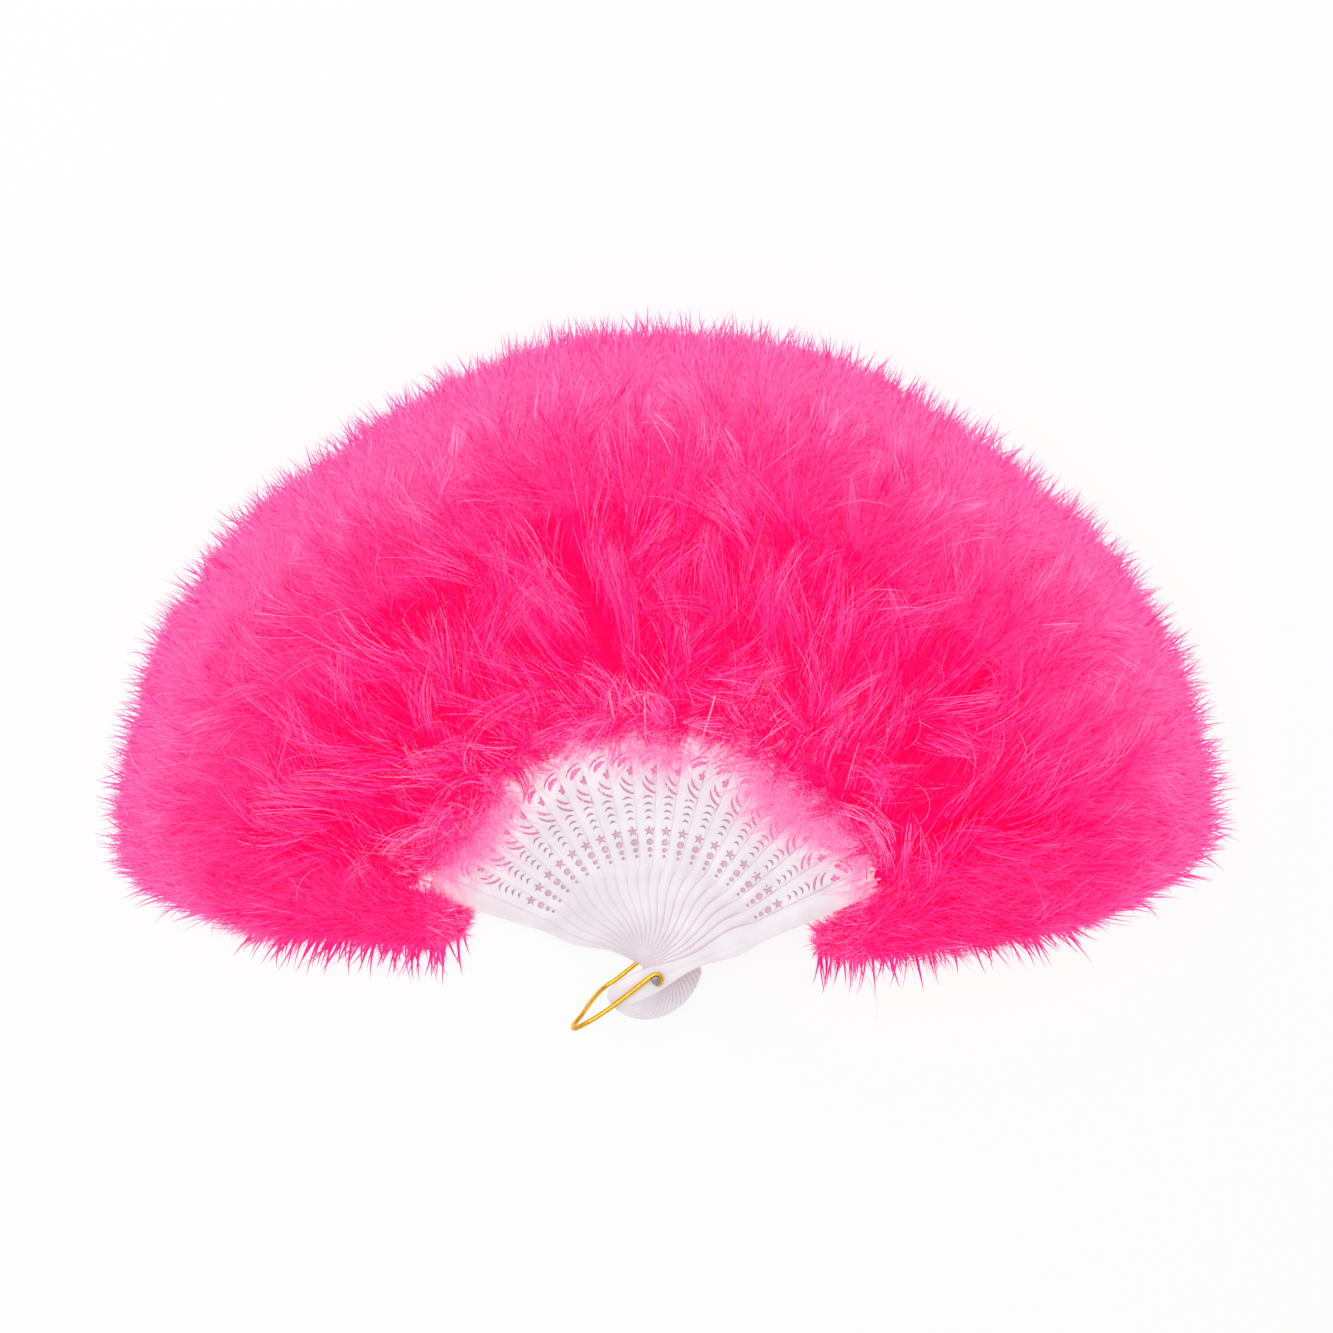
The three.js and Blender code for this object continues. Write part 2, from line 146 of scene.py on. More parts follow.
class Shader:
    """The nodes of one material."""

    def __init__(self, name: str) -> None:
        """Starts a material with nothing but its output."""
        self.material = bpy.data.materials.new(name)
        self.material.use_nodes = True
        self.nodes = self.material.node_tree.nodes
        self.links = self.material.node_tree.links
        self.nodes.clear()
        self.output = self.nodes.new("ShaderNodeOutputMaterial")

    def add(
        self, kind: str, settings: Mapping[str, Any] | None = None, inputs: Mapping[Any, Any] | None = None
    ) -> bpy.types.Node:
        """Adds a node.

        Args:
            kind: The node's type.
            settings: Its own settings, and a ramp's stops as pairs of place and colour.
            inputs: What its sockets take, by name or number: a plain value, a socket or a Value.

        Returns:
            The new node.
        """
        node = self.nodes.new(kind)
        for key, setting in (settings or {}).items():
            if key == "stops":
                self._set_stops(node.color_ramp, setting)
            else:
                setattr(node, key, setting)
        for key, given in (inputs or {}).items():
            source = given.socket if isinstance(given, Value) else given
            if isinstance(source, bpy.types.NodeSocket):
                self.links.new(source, node.inputs[key])
            else:
                node.inputs[key].default_value = source
        return node

    @staticmethod
    def _set_stops(ramp: bpy.types.ColorRamp, stops: Stops) -> None:
        """Gives a ramp its stops."""
        while len(ramp.elements) < len(stops):
            ramp.elements.new(1.0)
        for element, (place, code) in zip(ramp.elements, stops):
            element.position = place
            element.color = tint(code)

    def value(self, node: bpy.types.Node, output: str | int = 0) -> Value:
        """Returns a node's output as a value for arithmetic."""
        return Value(self, node.outputs[output])

    def place(self) -> bpy.types.NodeSocket:
        """Returns the place on the piece, in its own frame."""
        return self.add("ShaderNodeTexCoord").outputs["Object"]

    def noise(self, scale: float, detail: float = 3.0) -> Value:
        """Returns noise over the piece, with the given number of cells a metre."""
        inputs = {"Vector": self.place(), "Scale": scale, "Detail": detail}
        return self.value(self.add("ShaderNodeTexNoise", None, inputs), "Fac")

    def away(self, start: float, end: float) -> Value:
        """Returns a smooth step from 0 to 1 between two distances from the rivet's axis."""
        level = self.add("ShaderNodeVectorMath", {"operation": "MULTIPLY"}, {0: self.place(), 1: (1, 1, 0)})
        distance = self.add("ShaderNodeVectorMath", {"operation": "LENGTH"}, {0: level.outputs[0]})
        inputs = {"Value": distance.outputs["Value"], "From Min": start, "From Max": end}
        return self.value(self.add("ShaderNodeMapRange", {"interpolation_type": "SMOOTHSTEP"}, inputs))

    def barb(self) -> tuple[Value, Value]:
        """Returns the place along a barb and the barb's tone, both from the barbs' own map."""
        spot = self.add("ShaderNodeUVMap", {"uv_map": BARB_MAP}).outputs["UV"]
        parts = self.add("ShaderNodeSeparateXYZ", None, {"Vector": spot})
        return self.value(parts, "X"), self.value(parts, "Y")

    def ramp(self, factor: Value, stops: Stops) -> bpy.types.NodeSocket:
        """Returns the colour that a ramp gives for a value."""
        return self.add("ShaderNodeValToRGB", {"stops": stops}, {"Fac": factor}).outputs["Color"]

    def bump(self, height: Value, strength: float) -> bpy.types.NodeSocket:
        """Returns the normal of a surface with fine relief."""
        inputs = {"Height": height, "Strength": strength, "Distance": BUMP_DISTANCE}
        return self.add("ShaderNodeBump", None, inputs).outputs["Normal"]

    def close(self, surface: bpy.types.Node) -> bpy.types.Material:
        """Joins the last shader to the output and returns the material."""
        self.links.new(surface.outputs[0], self.output.inputs["Surface"])
        return self.material

    def finish(self, inputs: Mapping[str, Any]) -> bpy.types.Material:
        """Closes the material with one Principled shader and returns it."""
        return self.close(self.add("ShaderNodeBsdfPrincipled", None, inputs))

    def finish_down(
        self, colour: bpy.types.NodeSocket, roughness: Value, gloss: float, glow: float
    ) -> bpy.types.Material:
        """Closes the material of thin down with a painted glow: an emission in its own colour that stands in for
        light passing through it.
        """
        inputs = {"Base Color": colour, "Roughness": roughness, "Specular IOR Level": gloss}
        return self.finish({**inputs, "Emission Color": colour, "Emission Strength": glow})


@dataclass(frozen=True)
class PlasticFinish:
    """Satin moulded plastic, white with a faint lilac tint, and painted pink under the feathers for the pink light
    that passes through and bounces off the down.
    """

    pale: str = "F6F0F5"
    deep: str = "EDE4EB"
    painted_pink_light: str = "F6B4D6"
    pink_light_start: float = 0.094
    pink_light_end: float = 0.112
    cloud_scale: float = 60.0
    grain_scale: float = 2200.0

    def material(self) -> bpy.types.Material:
        """Makes the material of the sticks and guards."""
        shader = Shader("satin_plastic")
        cloud, grain = shader.noise(self.cloud_scale), shader.noise(self.grain_scale)
        # Painted light: the plastic turns pink towards the tips, for the pink light from the down.
        pink_light = shader.away(self.pink_light_start, self.pink_light_end)
        stops = ((0.175, self.deep), (0.325, self.pale), (0.5, self.pale), (0.75, self.painted_pink_light))
        return shader.finish(
            {
                "Base Color": shader.ramp(0.5 * cloud + 0.5 * pink_light, stops),
                "Roughness": 0.36 + 0.16 * cloud,
                "Normal": shader.bump(grain, 0.12),
                "Specular IOR Level": 0.4,
            }
        )


@dataclass(frozen=True)
class DownFinish:
    """Dyed down: each barb is deep at its root and lighter towards its tip."""

    name: str = "dyed_down"
    stops: Stops = ((0.0, "FC0060"), (0.25, "FF117F"), (0.5, "FF3D9B"), (0.75, "FF72B8"), (1.0, "FFA6D4"))
    tip_lift: float = 0.4
    # Painted light: the down glows in its own colour, though it is no lamp.
    glow: float = 0.24
    plain_place: float = 0.4

    def material(self) -> bpy.types.Material:
        """Makes a material that reads the barbs' own map."""
        shader = Shader(self.name)
        along, tone = shader.barb()
        colour = shader.ramp(tone + self.tip_lift * (along - self.plain_place), self.stops)
        return shader.finish_down(colour, 0.75 - 0.15 * along, 0.08, self.glow)


@dataclass(frozen=True)
class ShadeLiningFinish:
    """Thin down behind the sticks in painted shade: dusty rose near the rivet for their shadow, and pinker towards
    the feathers for painted pink bounce light.
    """

    stops: Stops = ((0.0, "DCC2CE"), (0.45, "D6A6BE"), (0.7, "EE98C6"), (1.0, "F868BA"))
    # Painted light: the linings glow a little in their own colour, though they are no lamp.
    glow: float = 0.15
    mottle: float = 0.12

    def material(self) -> bpy.types.Material:
        """Makes the material of the shade linings, which reads their place along the stick."""
        shader = Shader("painted_shade_down")
        along, tone = shader.barb()
        colour = shader.ramp(along + self.mottle * (tone - 0.5), self.stops)
        return shader.finish_down(colour, 0.7 + 0.2 * tone, 0.1, self.glow)


@dataclass(frozen=True)
class QuillFinish:
    """The bare shaft of a feather: horn that took the dye, with faint clouds."""

    pale: str = "FBC4DE"
    deep: str = "EC88B8"
    scale: float = 700.0

    def material(self) -> bpy.types.Material:
        """Makes the material of the quills."""
        shader = Shader("quill_horn")
        cloud = shader.noise(self.scale)
        colour = shader.ramp(cloud, ((0.35, self.deep), (0.65, self.pale)))
        return shader.finish({"Base Color": colour, "Roughness": 0.3 + 0.2 * cloud})


@dataclass(frozen=True)
class MetalFinish:
    """Drawn or pressed metal with a faint brushed variation."""

    name: str
    pale: str
    deep: str
    roughness: float
    scale: float = 900.0

    def material(self) -> bpy.types.Material:
        """Makes a metal material."""
        shader = Shader(self.name)
        cloud = shader.noise(self.scale, 4.0)
        return shader.finish(
            {
                "Base Color": shader.ramp(cloud, ((0.3, self.deep), (0.7, self.pale))),
                "Roughness": self.roughness + 0.15 * cloud,
                "Metallic": 1.0,
                "Normal": shader.bump(cloud, 0.1),
            }
        )


@dataclass(frozen=True)
class ThreadFinish:
    """White sewing thread with the slant of its plies."""

    pale: str = "F4ECF2"
    deep: str = "D9CBD6"
    ply_scale: float = 1500.0

    def material(self) -> bpy.types.Material:
        """Makes the material of the linking thread."""
        shader = Shader("sewing_thread")
        settings = {"wave_type": "BANDS", "bands_direction": "DIAGONAL"}
        inputs = {"Vector": shader.place(), "Scale": self.ply_scale}
        plies = shader.value(shader.add("ShaderNodeTexWave", settings, inputs), "Fac")
        colour = shader.ramp(plies, ((0.2, self.deep), (0.8, self.pale)))
        return shader.finish({"Base Color": colour, "Roughness": 0.85, "Normal": shader.bump(plies, 0.4)})


@dataclass(frozen=True)
class FloorFinish:
    """A matt floor that keeps the fan's soft shadow and fades to plain white away from it."""

    colour: str = "F7F5F6"
    glow: float = 0.86
    fade_start: float = 0.45
    fade_end: float = 1.1

    def material(self) -> bpy.types.Material:
        """Makes the floor's material."""
        shader = Shader("white_floor")
        path = shader.add("ShaderNodeLightPath")
        seen = shader.value(path, "Is Camera Ray") + shader.value(path, "Is Glossy Ray")
        seen = seen + shader.value(path, "Is Transmission Ray")
        share = self.glow + (1 - self.glow) * shader.away(self.fade_start, self.fade_end)
        matt = shader.add("ShaderNodeBsdfDiffuse", None, {"Color": tint(self.colour)})
        white = shader.add("ShaderNodeEmission", None, {"Strength": 1.0})
        inputs = {0: share * seen, 1: matt.outputs[0], 2: white.outputs[0]}
        return shader.close(shader.add("ShaderNodeMixShader", None, inputs))


class Kind(Enum):
    """What a layer of the stack is."""

    REAR_GUARD = "rear"
    STICK = "stick"
    FRONT_GUARD = "front"


@dataclass(frozen=True)
class Layer:
    """One layer of the stack: a stick or guard with the plume that it carries."""

    number: int
    kind: Kind
    label: str
    angle: float
    bottom: float
    top: float

    @property
    def is_guard(self) -> bool:
        """True for the two end layers."""
        return self.kind is not Kind.STICK

    @property
    def body(self) -> str:
        """The body that the layer's pieces ride on."""
        return f"{self.label}_guard" if self.is_guard else f"stick_{self.label}"

    @property
    def blade_node(self) -> str:
        """The node of the layer's stick or guard."""
        return f"guard_{self.label}" if self.is_guard else f"stick_{self.label}"

    @property
    def plume_node(self) -> str:
        """The node of the layer's plume."""
        return f"plume_{self.label}"

    @property
    def middle(self) -> float:
        """Height of the middle of the layer's stick."""
        return (self.bottom + self.top) / 2

    def turn(self) -> Matrix:
        """Returns the turn from the stick's own frame to the fan's."""
        return Matrix.Rotation(math.radians(self.angle), 4, "Z")


@dataclass(frozen=True)
class Layout:
    """The spread of the open fan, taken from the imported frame."""

    rear_angle: float = 160.4
    lead_joint: str = "front_guard_fold"

    def layers(self) -> list[Layer]:
        """Returns every layer, from the rear guard to the front guard."""
        spread = next(j for j in frame["joints"] if j["name"] == self.lead_joint)["range_deg"][1]
        inner = sum(name.startswith("stick_") for name in frame["bodies"])
        found = []
        for number in range(inner + 2):
            kind = Kind.STICK
            label = f"{number:02d}"
            if number == 0:
                kind, label = Kind.REAR_GUARD, "rear"
            elif number == inner + 1:
                kind, label = Kind.FRONT_GUARD, "front"
            angle = self.rear_angle - spread * number / (inner + 1)
            low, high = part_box(f"guard_{label}" if kind is not Kind.STICK else f"stick_{label}")
            found.append(Layer(number, kind, label, angle, low.z, high.z))
        return found


def select_only(*objects: bpy.types.Object) -> None:
    """Deselects everything, then selects these objects and makes the first one active."""
    bpy.ops.object.select_all(action="DESELECT")
    for found in objects:
        found.select_set(True)
    bpy.context.view_layer.objects.active = objects[0]


def link(name: str, data: Any) -> bpy.types.Object:
    """Adds an object with the given data to the scene and returns it."""
    made = bpy.data.objects.new(name, data)
    bpy.context.scene.collection.objects.link(made)
    return made


def primitive(add: Any, **options: Any) -> bpy.types.Object:
    """Runs an operator that adds a mesh, and returns the new object, the only one selected."""
    bpy.ops.object.select_all(action="DESELECT")
    add(**options)
    return bpy.context.view_layer.objects.active


def clean_mesh(piece: bpy.types.Object, smooth_angle: float = 35.0) -> None:
    """Merges a piece's doubles, points its faces outwards and shades its round stretches smooth.

    Args:
        piece: A mesh object.
        smooth_angle: Edges sharper than this stay sharp.
    """
    select_only(piece)
    bpy.ops.object.mode_set(mode="EDIT")
    bpy.ops.mesh.select_all(action="SELECT")
    bpy.ops.mesh.remove_doubles(threshold=1e-6)
    bpy.ops.mesh.normals_make_consistent(inside=False)
    bpy.ops.object.mode_set(mode="OBJECT")
    bpy.ops.object.shade_smooth_by_angle(angle=math.radians(smooth_angle))


def curve_to_mesh(name: str, curve: bpy.types.Curve, smooth_angle: float = 35.0) -> bpy.types.Object:
    """Turns a curve into a finished mesh object.

    Args:
        name: The object's name.
        curve: The curve, with its bevel and fill set.
        smooth_angle: Edges sharper than this stay sharp.

    Returns:
        The mesh object.
    """
    select_only(link(name, curve))
    bpy.ops.object.convert(target="MESH")
    piece = bpy.context.view_layer.objects.active
    clean_mesh(piece, smooth_angle)
    return piece


def plate(name: str, loops: Sequence[Loop], thickness: float, edge: float) -> bpy.types.Object:
    """Models a flat plate with eased edges, its middle plane at height 0.

    Args:
        name: The object's name.
        loops: The outline, then its holes.
        thickness: The plate's thickness.
        edge: Radius of the eased edges.

    Returns:
        The plate as a mesh object.
    """
    curve = bpy.data.curves.new(name, "CURVE")
    curve.dimensions = "2D"
    curve.fill_mode = "BOTH"
    curve.extrude = thickness / 2 - edge
    curve.bevel_depth = edge
    curve.bevel_resolution = 1
    curve.offset = -edge
    for loop in loops:
        spline = curve.splines.new("POLY")
        spline.points.add(len(loop) - 1)
        for point, (x, y) in zip(spline.points, loop):
            point.co = (x, y, 0.0, 1.0)
        spline.use_cyclic_u = True
    return curve_to_mesh(name, curve)


def wire(name: str, points: Sequence[Vector], radius: float, sides: int = 4) -> bpy.types.Object:
    """Models a round wire along a smooth line.

    Args:
        name: The object's name.
        points: The line's points.
        radius: The wire's radius.
        sides: A quarter of the number of sides round the wire, less one.

    Returns:
        The wire as a mesh object.
    """
    curve = bpy.data.curves.new(name, "CURVE")
    curve.dimensions = "3D"
    curve.bevel_depth = radius
    curve.bevel_resolution = sides
    curve.use_fill_caps = True
    curve.resolution_u = 10
    spline = curve.splines.new("BEZIER")
    spline.bezier_points.add(len(points) - 1)
    for knot, point in zip(spline.bezier_points, points):
        knot.co = point
        knot.handle_left_type = knot.handle_right_type = "AUTO"
    return curve_to_mesh(name, curve)


def settle(
    piece: bpy.types.Object, body: str, material: bpy.types.Material, nodes: Iterable[str] = ()
) -> bpy.types.Object:
    """Gives a finished piece its material and its body.

    Args:
        piece: A mesh object in its place.
        body: The body that it rides on.
        material: What it is made of.
        nodes: The nodes that it stands for.

    Returns:
        The piece.
    """
    piece.data.materials.clear()
    piece.data.materials.append(material)
    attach(piece, body)
    if nodes:
        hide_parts(*nodes)
    LOG.info("%s rides on %s", piece.name, body)
    return piece


@dataclass(frozen=True)
class Stroke:
    """A curved, tapering cut of the rosette, set out round its flower."""

    start: float
    end: float
    start_radius: float
    end_radius: float
    width: float
    peak: float = 0.5
    scallops: int = 0
    blunt: float = 0.12
    plumpness: float = 0.7
    scallop_depth: float = 0.28

    def loop(self, centre: Pair, steps: int = 14) -> Loop:
        """Returns the cut's outline.

        Args:
            centre: The flower's middle.
            steps: Number of spans along the cut.

        Returns:
            The outline's points.
        """
        outer, inner = [], []
        for i in range(steps + 1):
            share = i / steps
            swell = share / self.peak if share < self.peak else (1 - share) / (1 - self.peak)
            half = self.width / 2 * max(self.blunt, math.sin(swell * math.pi / 2) ** self.plumpness)
            bite = 0.0
            if self.scallops:
                bite = self.scallop_depth * half * math.cos(2 * math.pi * self.scallops * share)
            angle = math.radians(blend(self.start, self.end, share))
            radius = blend(self.start_radius, self.end_radius, share)
            for side, reach in ((outer, radius + half), (inner, radius - half + bite)):
                side.append((centre[0] + reach * math.cos(angle), centre[1] + reach * math.sin(angle)))
        return outer + inner[::-1]


@dataclass(frozen=True)
class Blades:
    """The sticks and guards: flat plastic blades on the rivet."""

    head_length: float = 0.0225
    head_widest: float = -0.006
    head_half: float = 0.0059
    head_roundness: float = 2.5
    stations: tuple[Pair, ...] = ((-0.006, 0.0059), (0.018, 0.0031), (0.038, 0.0059), (0.050, 0.0045))
    reach: float = 0.1055
    stick_tip_half: float = 0.0070
    guard_tip_half: float = 0.0060
    tip_corner: float = 0.0020
    rivet_hole: float = 0.00115
    thread_hole: float = 0.0008
    thread_from_tip: float = 0.0023
    thread_side: float = 0.0035
    eased_edge: float = 0.00012
    rosette_from_tip: float = 0.0175
    rosette_side: float = -0.0038
    flower_radius: float = 0.0023
    strokes: tuple[Stroke, ...] = (
        Stroke(60, -8, 0.0085, 0.0085, 0.0009),
        Stroke(66, -4, 0.0061, 0.0059, 0.0021, 0.45, 3),
        Stroke(111, 176, 0.0051, 0.0064, 0.0012, 0.6, 4),
        Stroke(126, 178, 0.0074, 0.0101, 0.0012, 0.75),
    )
    crescent_places: tuple[float, ...] = (0.0757, 0.0726, 0.0695, 0.0664)
    crescent_halves: tuple[float, ...] = (0.0023, 0.0021, 0.0018, 0.0015)
    crescent_rise: float = 0.0015
    crescent_width: float = 0.00095
    star_place: float = 0.0614
    star_radius: float = 0.0025
    star_core: float = 0.00105
    star_points: int = 5
    head_steps: int = 14
    edge_steps: int = 64
    corner_steps: int = 5
    rivet_sides: int = 32
    thread_sides: int = 20
    dot_sides: int = 24
    dots: tuple[Pair, ...] = ((0.0565, 0.0015), (0.0530, 0.00108), (0.0503, 0.00072))

    @property
    def thread_place(self) -> Pair:
        """Middle of the thread hole, in the stick's own frame."""
        return self.reach - self.thread_from_tip, self.thread_side

    def half_width(self, distance: float, tip_half: float) -> float:
        """Returns half the blade's width at a distance from the rivet, outside its rounded head."""
        for (start, half_start), (end, half_end) in zip(self.stations, self.stations[1:]):
            if distance < end:
                return blend(half_start, half_end, float(ease(start, end, distance)))
        waist, waist_half = self.stations[-1]
        half = blend(waist_half, tip_half, (distance - waist) / (self.reach - waist))
        into = min(max(0.0, distance - self.reach + self.tip_corner), self.tip_corner)
        return half - self.tip_corner + math.sqrt(self.tip_corner**2 - into**2)

    def outline(self, tip_half: float) -> Loop:
        """Returns a blade's outline, anticlockwise from its tip's left corner."""
        edge = []
        for i in range(self.head_steps):
            share = math.cos(i / self.head_steps * math.pi / 2)
            half = self.head_half * (1 - share**self.head_roundness) ** (1 / self.head_roundness)
            edge.append((blend(self.head_widest, -self.head_length, share), half))
        bend = self.reach - self.tip_corner
        for distance in np.linspace(self.head_widest, bend, self.edge_steps, endpoint=False):
            edge.append((float(distance), self.half_width(float(distance), tip_half)))
        for i in range(self.corner_steps + 1):
            distance = bend + self.tip_corner * math.sin(i / self.corner_steps * math.pi / 2)
            edge.append((distance, self.half_width(distance, tip_half)))
        return edge[::-1] + [(x, -y) for x, y in edge[1:]]

    def ring(self, x: float, y: float, radii: Sequence[float], sides: int) -> Loop:
        """Returns a round or starred hole, with its corners at the given radii in turn."""
        turns = [2 * math.pi * i / sides for i in range(sides)]
        found = zip(turns, (radii[i % len(radii)] for i in range(sides)))
        return [(x + radius * math.cos(turn), y + radius * math.sin(turn)) for turn, radius in found]

    def flower(self, centre: Pair, petals: int = 5, steps: int = 40) -> Loop:
        """Returns the ragged flower at the rosette's middle."""
        points = []
        for i in range(steps):
            turn = 2 * math.pi * i / steps
            radius = self.flower_radius * (0.8 + 0.2 * math.cos(petals * turn) + 0.08 * math.cos(3 * turn + 1))
            points.append((centre[0] + radius * math.cos(turn), centre[1] + radius * math.sin(turn)))
        return points

    def crescent(self, x: float, half: float, steps: int = 10) -> Loop:
        """Returns a crescent that bows away from the rivet, with pointed ends."""
        outer, inner = [], []
        for i in range(steps + 1):
            y = blend(-half, half, i / steps)
            bow = 1 - (y / half) ** 2
            outer.append((x + self.crescent_rise * bow, y))
            inner.append((x + (self.crescent_rise - self.crescent_width) * bow, y))
        return outer + inner[-2:0:-1]

    def piercings(self) -> list[Loop]:
        """Returns the holes of an inner stick's ornament."""
        centre = (self.reach - self.rosette_from_tip, self.rosette_side)
        loops = [self.flower(centre)]
        loops += [stroke.loop(centre) for stroke in self.strokes]
        loops += [self.crescent(x, half) for x, half in zip(self.crescent_places, self.crescent_halves)]
        loops.append(self.ring(self.star_place, 0.0, (self.star_radius, self.star_core), 2 * self.star_points))
        loops += [self.ring(x, 0.0, (radius,), self.dot_sides) for x, radius in self.dots]
        return loops

    def blank(self, name: str, tip_half: float, thickness: float, piercings: Sequence[Loop]) -> bpy.types.Object:
        """Models one blade in its own frame, with its middle plane at height 0."""
        holes = [
            self.ring(0.0, 0.0, (self.rivet_hole,), self.rivet_sides),
            self.ring(*self.thread_place, (self.thread_hole,), self.thread_sides),
        ]
        return plate(name, [self.outline(tip_half), *holes, *piercings], thickness, self.eased_edge)

    def build(self, layers: Sequence[Layer], material: bpy.types.Material) -> None:
        """Models a stick and a guard once, and copies them to their layers.

        Args:
            layers: The stack.
            material: The plastic.
        """
        sizes = {layer.is_guard: layer.top - layer.bottom for layer in layers}
        stick = self.blank("stick_blank", self.stick_tip_half, sizes[False], self.piercings())
        guard = self.blank("guard_blank", self.guard_tip_half, sizes[True], [])
        for layer in layers:
            source = guard if layer.is_guard else stick
            mesh = source.data.copy()
            mesh.transform(Matrix.Translation((0, 0, layer.middle)) @ layer.turn())
            piece = link(f"blade_{layer.label}", mesh)
            settle(piece, layer.body, material, [layer.blade_node])
        bpy.data.objects.remove(stick)
        bpy.data.objects.remove(guard)


@dataclass(frozen=True)
class Rivet:
    """The pin through the stack, with a flat rear head and a dished front head."""

    pin_radius: float = 0.0009
    front_radius: float = 0.0019
    rear_radius: float = 0.0026
    head_height: float = 0.0010
    dish_rim: float = 0.00055
    dish_depth: float = 0.00022
    edge: float = 0.00025
    edge_steps: int = 3
    head_sides: int = 48
    pin_sides: int = 32

    def head(self, name: str, radius: float, bottom: float, face_up: bool) -> bpy.types.Object:
        """Models a head with a dished face and a rounded rim."""
        middle = (0, 0, bottom + self.head_height / 2)
        sizes = {"vertices": self.head_sides, "radius": radius, "depth": self.head_height}
        piece = primitive(bpy.ops.mesh.primitive_cylinder_add, **sizes, location=middle)
        piece.name = name
        way = 1 if face_up else -1
        for face in piece.data.polygons:
            face.select = face.normal.z * way > 0.5
        bpy.ops.object.mode_set(mode="EDIT")
        bpy.ops.mesh.inset(thickness=self.dish_rim)
        bpy.ops.transform.translate(value=(0, 0, -way * self.dish_depth))
        bpy.ops.object.mode_set(mode="OBJECT")
        rim = piece.modifiers.new("rim", "BEVEL")
        rim.width = self.edge
        rim.segments = self.edge_steps
        rim.limit_method = "ANGLE"
        bpy.ops.object.modifier_apply(modifier=rim.name)
        return piece

    def build(self, material: bpy.types.Material) -> None:
        """Models the pin and its heads as one piece."""
        low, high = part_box("rivet")
        rear = self.head("rivet_pin", self.rear_radius, low.z, False)
        front = self.head("rivet_front", self.front_radius, high.z - self.head_height, True)
        middle = (0, 0, (low.z + high.z) / 2)
        depth = high.z - low.z - self.head_height
        sizes = {"vertices": self.pin_sides, "radius": self.pin_radius, "depth": depth}
        pin = primitive(bpy.ops.mesh.primitive_cylinder_add, **sizes, location=middle)
        select_only(rear, front, pin)
        bpy.ops.object.join()
        bpy.ops.object.transform_apply(location=True, rotation=True, scale=True)
        clean_mesh(rear)
        # The bevel's map differs from run to run, so a plain one that nothing reads takes its place.
        maps = rear.data.uv_layers
        name = maps[0].name
        maps.remove(maps[0])
        maps.new(name=name)
        settle(rear, "rear_guard", material, ["rivet"])


@dataclass(frozen=True)
class WireLoop:
    """The gold wire loop that swings on the rivet, with a flattened eye at each end."""

    radius: float = 0.00105
    angle: float = 212.0
    eye_radius: float = 0.0022
    eye_start: float = 55.0
    eye_end: float = 280.0
    leg_end: float = 0.0246
    opening: float = 0.0170
    tip_bend: float = 0.0030
    sweep: float = 1.8
    tip_shares: tuple[float, ...] = (1.0, 0.75, 0.5, 0.25, 0.1, 0.03)
    leg_backs: Pair = (0.0, 0.003)
    eye_steps: int = 5
    flat_share: float = 0.6
    flat_radius: float = 0.0050

    def eye(self, height: float) -> list[Vector]:
        """Returns the points of one eye, from its free end to its leg."""
        turns = np.radians(np.linspace(self.eye_start, self.eye_end, self.eye_steps + 1)).tolist()
        return [Vector((self.eye_radius * math.cos(t), self.eye_radius * math.sin(t), height)) for t in turns]

    def route(self, low: float, high: float) -> list[Vector]:
        """Returns the wire's points, from the front eye round the tip to the rear eye."""
        reach = self.leg_end + self.opening
        points = self.eye(high)
        points.append(Vector((self.leg_end, 0, high)))
        points.append(Vector((reach - 2 * self.tip_bend, 0, high)))
        for share in self.tip_shares:
            height = blend(low, high - self.tip_bend, share**self.sweep)
            points.append(Vector((blend(self.leg_end, reach, share), 0, height)))
        points += [Vector((self.leg_end - back, 0, low)) for back in self.leg_backs]
        return points + self.eye(low)[::-1]

    def build(self, material: bpy.types.Material) -> None:
        """Models the loop and presses its eyes flat."""
        low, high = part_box("wire_loop")
        heights = (low.z + self.radius, high.z - self.radius)
        piece = wire("loop_wire", self.route(*heights), self.radius)
        for vertex in piece.data.vertices:
            distance = math.hypot(vertex.co.x, vertex.co.y)
            level = min(heights, key=lambda height: abs(height - vertex.co.z))
            share = blend(self.flat_share, 1.0, float(ease(self.flat_radius * 0.8, self.flat_radius * 1.6, distance)))
            vertex.co.z = level + (vertex.co.z - level) * share if distance < 2 * self.flat_radius else vertex.co.z
        piece.data.transform(Matrix.Rotation(math.radians(self.angle), 4, "Z"))
        settle(piece, "wire_loop", material, ["wire_loop"])


